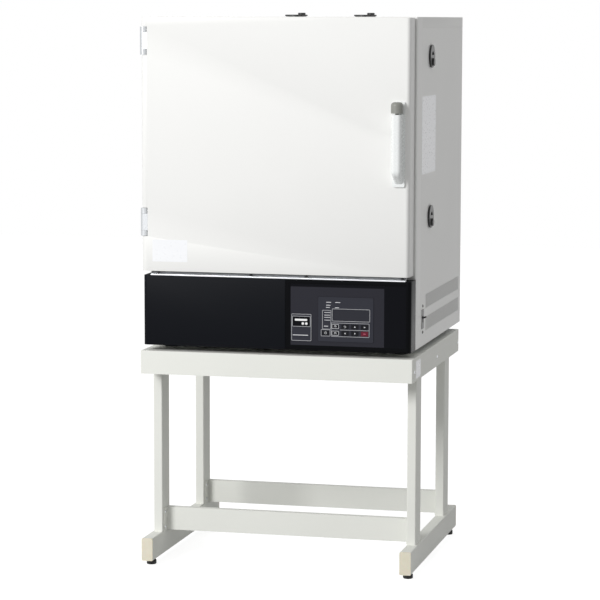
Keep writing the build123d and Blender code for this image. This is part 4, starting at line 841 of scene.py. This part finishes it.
class OVEN_OT_door(Operator):
    """Finish the door, its gasket and its hinges"""
    bl_idname = "oven.door"
    bl_label = "Door"

    def execute(self, context):
        sizes = context.scene.oven_sizes
        soften("door_shell", sizes.edge_width / MM, "casing")
        paint("stainless", "door_inner_panel")
        paint("gasket", "door_gasket")
        paint("zinc", "door_hinge_leaves", "hinge_brackets")
        return {"FINISHED"}


class OVEN_OT_handle(Operator):
    """Finish the door's grip and its thumb button"""
    bl_idname = "oven.handle"
    bl_label = "Handle"

    def execute(self, context):
        paint("handle", "door_handle")
        paint("button", "handle_button")
        return {"FINISHED"}


class OVEN_OT_controls(Operator):
    """Finish the control housing, its panel, window and keys"""
    bl_idname = "oven.controls"
    bl_label = "Controls"

    def execute(self, context):
        housing = soften("control_bezel", HOUSING_EASE, "bezel")
        # The housing right of the split line takes a darker black, which is painted shade
        housing.data.materials.append(coat("surround"))
        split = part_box("control_panel_plate")[0].x - SPLIT_OFFSET * MM
        for face in housing.data.polygons:
            face.material_index = 1 if face.center.x > split else 0
        paint("plate", "control_panel_plate")
        paint("window", "display_window")
        paint("board", "control_board")
        low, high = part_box("bezel_trim_strip")
        lip, rise, flat = [value * MM for value in (STRIP_LIP, STRIP_RISE, STRIP_FLAT)]
        section = (
            (low.y, low.z),
            (low.y, low.z + lip),
            (high.y - flat, low.z + rise),
            (high.y, low.z + rise),
            (high.y, low.z),
        )
        strip = prism(section, low.x, high.x, STRIP_EASE * MM, "trim_strip")
        add_piece("trim_strip", strip, "root", "strip", ("bezel_trim_strip",))
        paint("key", *nodes_of("key_"))
        paint("red_key", "key_enter")
        return {"FINISHED"}


class OVEN_OT_panel_print(Operator):
    """Lay the films, outlines, bars, setter dials and key symbols on the panel"""
    bl_idname = "oven.panel_print"
    bl_label = "Panel print"

    def execute(self, context):
        sizes = context.scene.oven_sizes
        print_films(sizes.film_depth)
        print_marks(sizes)
        print_symbols(sizes.ink_depth)
        return {"FINISHED"}


def print_films(film):
    """Dark film on the left part of the panel plate, and lighter film on its raised fields."""
    low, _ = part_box("control_panel_plate")
    overlay = FlatWork(low.x, low.z, low.y + FIELD_PROUD * MM, film)
    overlay.bar(in_metres(OVERLAY), BAR_CORNER * MM)
    add_piece("panel_overlay", overlay.mesh("panel_overlay"), "root", "panel")
    fields = FlatWork(low.x, low.z, low.y, film)
    for field, opening in ((DISPLAY_FIELD, DISPLAY_OPENING), (SETTER_FIELD, SETTER_OPENING)):
        outer = rounded_outline(*in_metres(field), FIELD_CORNER * MM)
        fields.band(outer, rounded_outline(*in_metres(opening), OPENING_CORNER * MM))
    add_piece("panel_fields", fields.mesh("panel_fields"), "root", "field")


def print_marks(sizes):
    """Outlines and bars on the raised fields, and the limit setter's bar and dials."""
    low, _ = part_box("control_panel_plate")
    film_front = low.y - sizes.film_depth
    lines = FlatWork(low.x, low.z, film_front, sizes.ink_depth)
    boxes = (WINDOW_LINE, KEYS_LINE, LAMPS_LINE, POWER_LINE, SETTER_FIELD, SETTER_WINDOW_LINE)
    for box in boxes:
        lines.outline(in_metres(box), LINE_CORNER * MM, sizes.line_width)
    lines.bar(in_metres(KEYS_MIDDLE_LINE), MIDDLE_LINE_CORNER * MM)
    add_piece("panel_outlines", lines.mesh("panel_outlines"), "root", "ink")
    bars = FlatWork(low.x, low.z, film_front, sizes.ink_depth)
    for box in (SETTER_FOOT_BAR, *DASHES):
        bars.bar(in_metres(box), BAR_CORNER * MM)
    add_piece("panel_bars", bars.mesh("panel_bars"), "root", "bar_ink")
    setter = FlatWork(low.x, low.z, low.y + SETTER_SUNK * MM, sizes.dial_depth)
    setter.bar(in_metres(SETTER_BAR), SETTER_BAR_CORNER * MM)
    for x, z in SETTER_DOTS:
        setter.disc(x * MM, z * MM, SETTER_DOT_R * MM)
    add_piece("setter_dials", setter.mesh("setter_dials"), "root", "bright_ink")


def print_symbols(depth):
    """One symbol in the middle of each key, which it rides on."""
    for label, draw in KEY_SYMBOLS.items():
        low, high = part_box(f"key_{label}")
        middle = (low + high) / 2
        symbol = FlatWork(middle.x, middle.z, low.y, depth)
        draw(symbol)
        mesh = symbol.mesh(f"symbol_{label}")
        tone = "rose_ink" if label == "enter" else "bar_ink"
        add_piece(f"symbol_{label}", mesh, f"key_{label}", tone)


# Key symbols, drawn in millimetres from the key's middle

def arrow_head(work, heading):
    """Filled arrow head, which points right at a heading of 0 degrees."""
    reach = 2.6 * MM
    corners = [math.radians(heading + step) for step in (0, 130, 230)]
    work.solid([(reach * math.cos(a), reach * math.sin(a)) for a in corners])


def power_symbol(work):
    """Open ring with an upright bar."""
    work.arc(0, 0, 3.2 * MM, 0.8 * MM, 120, 420)
    work.bar(in_metres((-0.4, 0.4, 0.8, 3.4)))


def back_symbol(work):
    """Arrow that turns back."""
    work.arc(0.2 * MM, -0.4 * MM, 2.6 * MM, 0.9 * MM, -90, 90)
    work.bar(in_metres((-2.2, 1.2, 2.4, 0.9)))
    work.solid([in_metres(corner) for corner in ((-3.4, 1.6), (-1.8, 0.2), (-1.8, 3.0))])
    work.bar(in_metres((-2.2, -2.9, 2.4, 0.9)))


def framed_symbol(work):
    """Frame round the key's edge with a ring and a hand inside."""
    work.outline(in_metres((-9.4, -5.9, 18.8, 11.8)), 1.6 * MM, 0.9 * MM)
    work.arc(0, 0, 3.0 * MM, 0.9 * MM, -50, 230)
    work.bar(in_metres((-0.4, -0.4, 2.6, 0.9)))


def enter_symbol(work):
    """Short bar with an arrow head at its left."""
    work.bar(in_metres((-1.6, -0.7, 4.6, 1.4)))
    work.solid([in_metres(corner) for corner in ((-3.6, 0.0), (-1.4, -1.7), (-1.4, 1.7))])


KEY_SYMBOLS = {
    "mode": framed_symbol,
    "back": back_symbol,
    "up": lambda work: arrow_head(work, 90),
    "right": lambda work: arrow_head(work, 0),
    "power": power_symbol,
    "menu": framed_symbol,
    "left": lambda work: arrow_head(work, 180),
    "down": lambda work: arrow_head(work, 270),
    "enter": enter_symbol,
}


class OVEN_OT_labels(Operator):
    """Blank vinyl labels on the door, the right side and the stand"""
    bl_idname = "oven.labels"
    bl_label = "Blank labels"

    def execute(self, context):
        depth = context.scene.oven_sizes.label_depth
        door = FlatWork(0, 0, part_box("door_shell")[0].y, depth)
        door.bar(in_metres(DOOR_LABEL), DOOR_LABEL_CORNER * MM)
        add_piece("door_label", door.mesh("door_label"), "door", "label")
        quarter_turn = Matrix.Rotation(math.radians(90), 4, "Z")
        sides = (
            ("side_label", SIDE_LABEL, "side_panel_right", "casing_enamel"),
            ("stand_label", STAND_LABEL, "stand_tray", "stand_enamel"),
        )
        for name, box, node, slot in sides:
            label = FlatWork(0, 0, -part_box(node)[1].x, depth)
            label.bar(in_metres(box), SIDE_LABEL_CORNER * MM)
            mesh = label.mesh(name)
            mesh.transform(quarter_turn)
            add_piece(name, mesh, "root", "label")
        return {"FINISHED"}


class OVEN_OT_ports(Operator):
    """Finish the exhaust ports and their turning caps"""
    bl_idname = "oven.ports"
    bl_label = "Exhaust ports"

    def execute(self, context):
        paint("damper", "port_sleeves", *nodes_of("damper_cap"))
        return {"FINISHED"}


class OVEN_OT_breaker(Operator):
    """Finish the breaker in the right side"""
    bl_idname = "oven.breaker"
    bl_label = "Breaker"

    def execute(self, context):
        paint("damper", "breaker_body", "breaker_lever")
        return {"FINISHED"}


class OVEN_OT_stand(Operator):
    """Finish the stand's tray, tubes, caps and levelling feet"""
    bl_idname = "oven.stand"
    bl_label = "Stand"

    def execute(self, context):
        paint("stand", "stand_tray", "stand_top_rails", "stand_legs")
        paint("stand", "stand_foot_rails", "stand_cross_rails")
        paint("cap", "stand_rail_caps")
        paint("rubber", *nodes_of("levelling_foot"))
        return {"FINISHED"}


class OVEN_OT_screws(Operator):
    """Cross-recessed screw heads on the stand, the strip, the breaker and the rear sheet"""
    bl_idname = "oven.screws"
    bl_label = "Screws"

    def execute(self, context):
        sizes = context.scene.oven_sizes
        seats, aims = zip(*[seat_and_aim(group) for group in islands("screws")])
        strip_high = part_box("bezel_trim_strip")[1].z
        breaker_low, breaker_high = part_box("breaker_body")
        darks = []
        for seat, aim in zip(seats, aims):
            on_strip = aim.z > 0 and abs(seat.z - strip_high) < MM
            if on_strip:
                seat.y -= STRIP_SCREW_FORWARD * MM
                seat.z += STRIP_SCREW_LIFT * MM
            beside_breaker = breaker_low.y < seat.y < breaker_high.y and seat.z > breaker_low.z
            darks.append(on_strip or (aim.x > 0 and beside_breaker))
        values = {
            "Radius": sizes.screw_radius,
            "Height": sizes.screw_height,
            "Recess": sizes.recess_width,
        }
        mesh = grow("screw_heads", seats, screw_tree(), values, aims, darks)
        add_piece("screw_heads", mesh, "root", None, ("screws",))
        return {"FINISHED"}


def screw_tree():
    """Domed head with a cross recess on every point."""
    sizes = {"Radius": "Float", "Height": "Float", "Recess": "Float"}
    tree, given = geometry_tree("screw_heads", sizes)
    radius, height, recess = given["Radius"], given["Height"], given["Recess"]
    ball = {"Segments": HEAD_SEGMENTS, "Rings": HEAD_RINGS, "Radius": radius}
    dome = add_node(tree, "GeometryNodeMeshUVSphere", inputs=ball)
    flatter = vector(tree, 1.0, 1.0, calculated(tree, "DIVIDE", height, radius))
    squashed = {"Geometry": dome.outputs["Mesh"], "Scale": flatter}
    head = add_node(tree, "GeometryNodeTransform", inputs=squashed)
    wide = calculated(tree, "MULTIPLY", radius, UNDERSIDE)
    below = vector(tree, z=calculated(tree, "MULTIPLY", radius, -UNDERSIDE / 2))
    length = calculated(tree, "MULTIPLY", radius, RECESS_LENGTH)
    above = vector(tree, z=height)
    blocks = (
        (vector(tree, wide, wide, wide), below),
        (vector(tree, length, recess, height), above),
        (vector(tree, recess, length, height), above),
    )
    cut = add_node(tree, "GeometryNodeMeshBoolean", {"operation": "DIFFERENCE"})
    tree.links.new(head.outputs["Geometry"], cut.inputs["Mesh 1"])
    for size, move in blocks:
        block = add_node(tree, "GeometryNodeMeshCube", inputs={"Size": size})
        moved = {"Geometry": block.outputs["Mesh"], "Translation": move}
        cutter = add_node(tree, "GeometryNodeTransform", inputs=moved)
        tree.links.new(cutter.outputs["Geometry"], cut.inputs["Mesh 2"])
    close_tree(tree, aimed_copies(tree, given["Geometry"], cut.outputs["Mesh"]), "zinc", "damper")
    return tree


class OVEN_OT_stage(Operator):
    """Set the floor, the lamp, the pale room and the camera"""
    bl_idname = "oven.stage"
    bl_label = "Stage"

    def execute(self, context):
        colours = context.scene.oven_colours
        make_floor(colours.floor)
        make_room(colours.backdrop)
        make_lamp("key_lamp", LAMP_PLACE, LAMP_TARGET, LAMP_SIDE, LAMP_POWER)
        make_camera()
        context.scene.view_settings.view_transform = "Standard"
        return {"FINISHED"}


def seen_directly(tree):
    """1 for what the camera sees, straight or by gloss and glass, and 0 for light on surfaces."""
    path = add_node(tree, "ShaderNodeLightPath").outputs
    glossy = calculated(tree, "MAXIMUM", path["Is Camera Ray"], path["Is Glossy Ray"])
    return calculated(tree, "MAXIMUM", glossy, path["Is Transmission Ray"])


def make_floor(colour):
    """Wide matt floor that stays white to the eye and keeps a soft shadow."""
    mesh = bpy.data.meshes.new("studio_floor")
    corners = ((-1, -1), (1, -1), (1, 1), (-1, 1))
    places = [(x * FLOOR_REACH, y * FLOOR_REACH, 0) for x, y in corners]
    mesh.from_pydata(places, [], [(0, 1, 2, 3)])
    paper = bpy.data.materials.new("seamless_paper")
    tree = cleared(paper)
    matt = add_node(tree, "ShaderNodeBsdfDiffuse", inputs={"Color": tuple(colour)})
    strength = calculated(tree, "MULTIPLY", seen_directly(tree), FLOOR_GLOW)
    glow = add_node(tree, "ShaderNodeEmission", inputs={"Color": (1, 1, 1, 1), "Strength": strength})
    shaders = {0: matt.outputs["BSDF"], 1: glow.outputs["Emission"]}
    both = add_node(tree, "ShaderNodeAddShader", inputs=shaders)
    add_node(tree, "ShaderNodeOutputMaterial", inputs={"Surface": both.outputs["Shader"]})
    mesh.materials.append(paper)
    floor = bpy.data.objects.new("studio_floor", mesh)
    bpy.context.scene.collection.objects.link(floor)


def make_room(colour):
    """White room seen directly, which lights the surfaces at a lower level."""
    room = bpy.data.worlds.new("white_room")
    bpy.context.scene.world = room
    tree = cleared(room)
    level = {"Value": seen_directly(tree), "To Min": ROOM_SHARE, "To Max": 1.0}
    strength = add_node(tree, "ShaderNodeMapRange", inputs=level).outputs["Result"]
    glow = {"Color": tuple(colour), "Strength": strength}
    light = add_node(tree, "ShaderNodeBackground", inputs=glow)
    add_node(tree, "ShaderNodeOutputWorld", inputs={"Surface": light.outputs["Background"]})


def make_lamp(name, place, target, size, power):
    """Square soft lamp aimed at a point."""
    data = bpy.data.lights.new(name, "AREA")
    data.size = size
    data.energy = power
    lamp = bpy.data.objects.new(name, data)
    lamp.location = place
    lamp.rotation_euler = (Vector(target) - Vector(place)).to_track_quat("-Z", "Y").to_euler()
    bpy.context.scene.collection.objects.link(lamp)


def make_camera():
    """Camera at the main view's place."""
    data = bpy.data.cameras.new("main_view")
    data.lens = CAMERA_LENS
    data.sensor_width = CAMERA_SENSOR
    camera = bpy.data.objects.new("main_view", data)
    heading = Matrix.Rotation(math.radians(CAMERA_HEADING), 4, "Z")
    tilt = Matrix.Rotation(math.radians(90 - CAMERA_TILT), 4, "X")
    roll = Matrix.Rotation(math.radians(CAMERA_ROLL), 4, "Z")
    camera.matrix_world = Matrix.Translation(CAMERA_PLACE) @ heading @ tilt @ roll
    bpy.context.scene.collection.objects.link(camera)
    bpy.context.scene.camera = camera


STEPS = (
    OVEN_OT_casing,
    OVEN_OT_chamber,
    OVEN_OT_door,
    OVEN_OT_handle,
    OVEN_OT_controls,
    OVEN_OT_panel_print,
    OVEN_OT_ports,
    OVEN_OT_breaker,
    OVEN_OT_stand,
    OVEN_OT_labels,
    OVEN_OT_screws,
    OVEN_OT_stage,
)


class OVEN_PT_finishes(Panel):
    """Steps that finish the oven, in their order"""
    bl_idname = "OVEN_PT_finishes"
    bl_label = "Drying oven"
    bl_space_type = "VIEW_3D"
    bl_region_type = "UI"
    bl_category = "Oven"

    def draw(self, context):
        for step in STEPS:
            self.layout.operator(step.bl_idname)
        for group in (context.scene.oven_sizes, context.scene.oven_colours):
            for label in group.bl_rna.properties.keys():
                if label not in ("rna_type", "name"):
                    self.layout.prop(group, label)


CLASSES = (OvenSizes, OvenColours, *STEPS, OVEN_PT_finishes)


def register():
    """Register the classes and hang the settings on the scene."""
    for part in CLASSES:
        bpy.utils.register_class(part)
    bpy.types.Scene.oven_sizes = PointerProperty(type=OvenSizes)
    bpy.types.Scene.oven_colours = PointerProperty(type=OvenColours)


def unregister():
    """Undo what register did."""
    del bpy.types.Scene.oven_colours
    del bpy.types.Scene.oven_sizes
    for part in reversed(CLASSES):
        bpy.utils.unregister_class(part)


def main():
    """Run every step in order."""
    register()
    for step in STEPS:
        group, label = step.bl_idname.split(".")
        getattr(getattr(bpy.ops, group), label)()


if __name__ == "__main__":
    main()
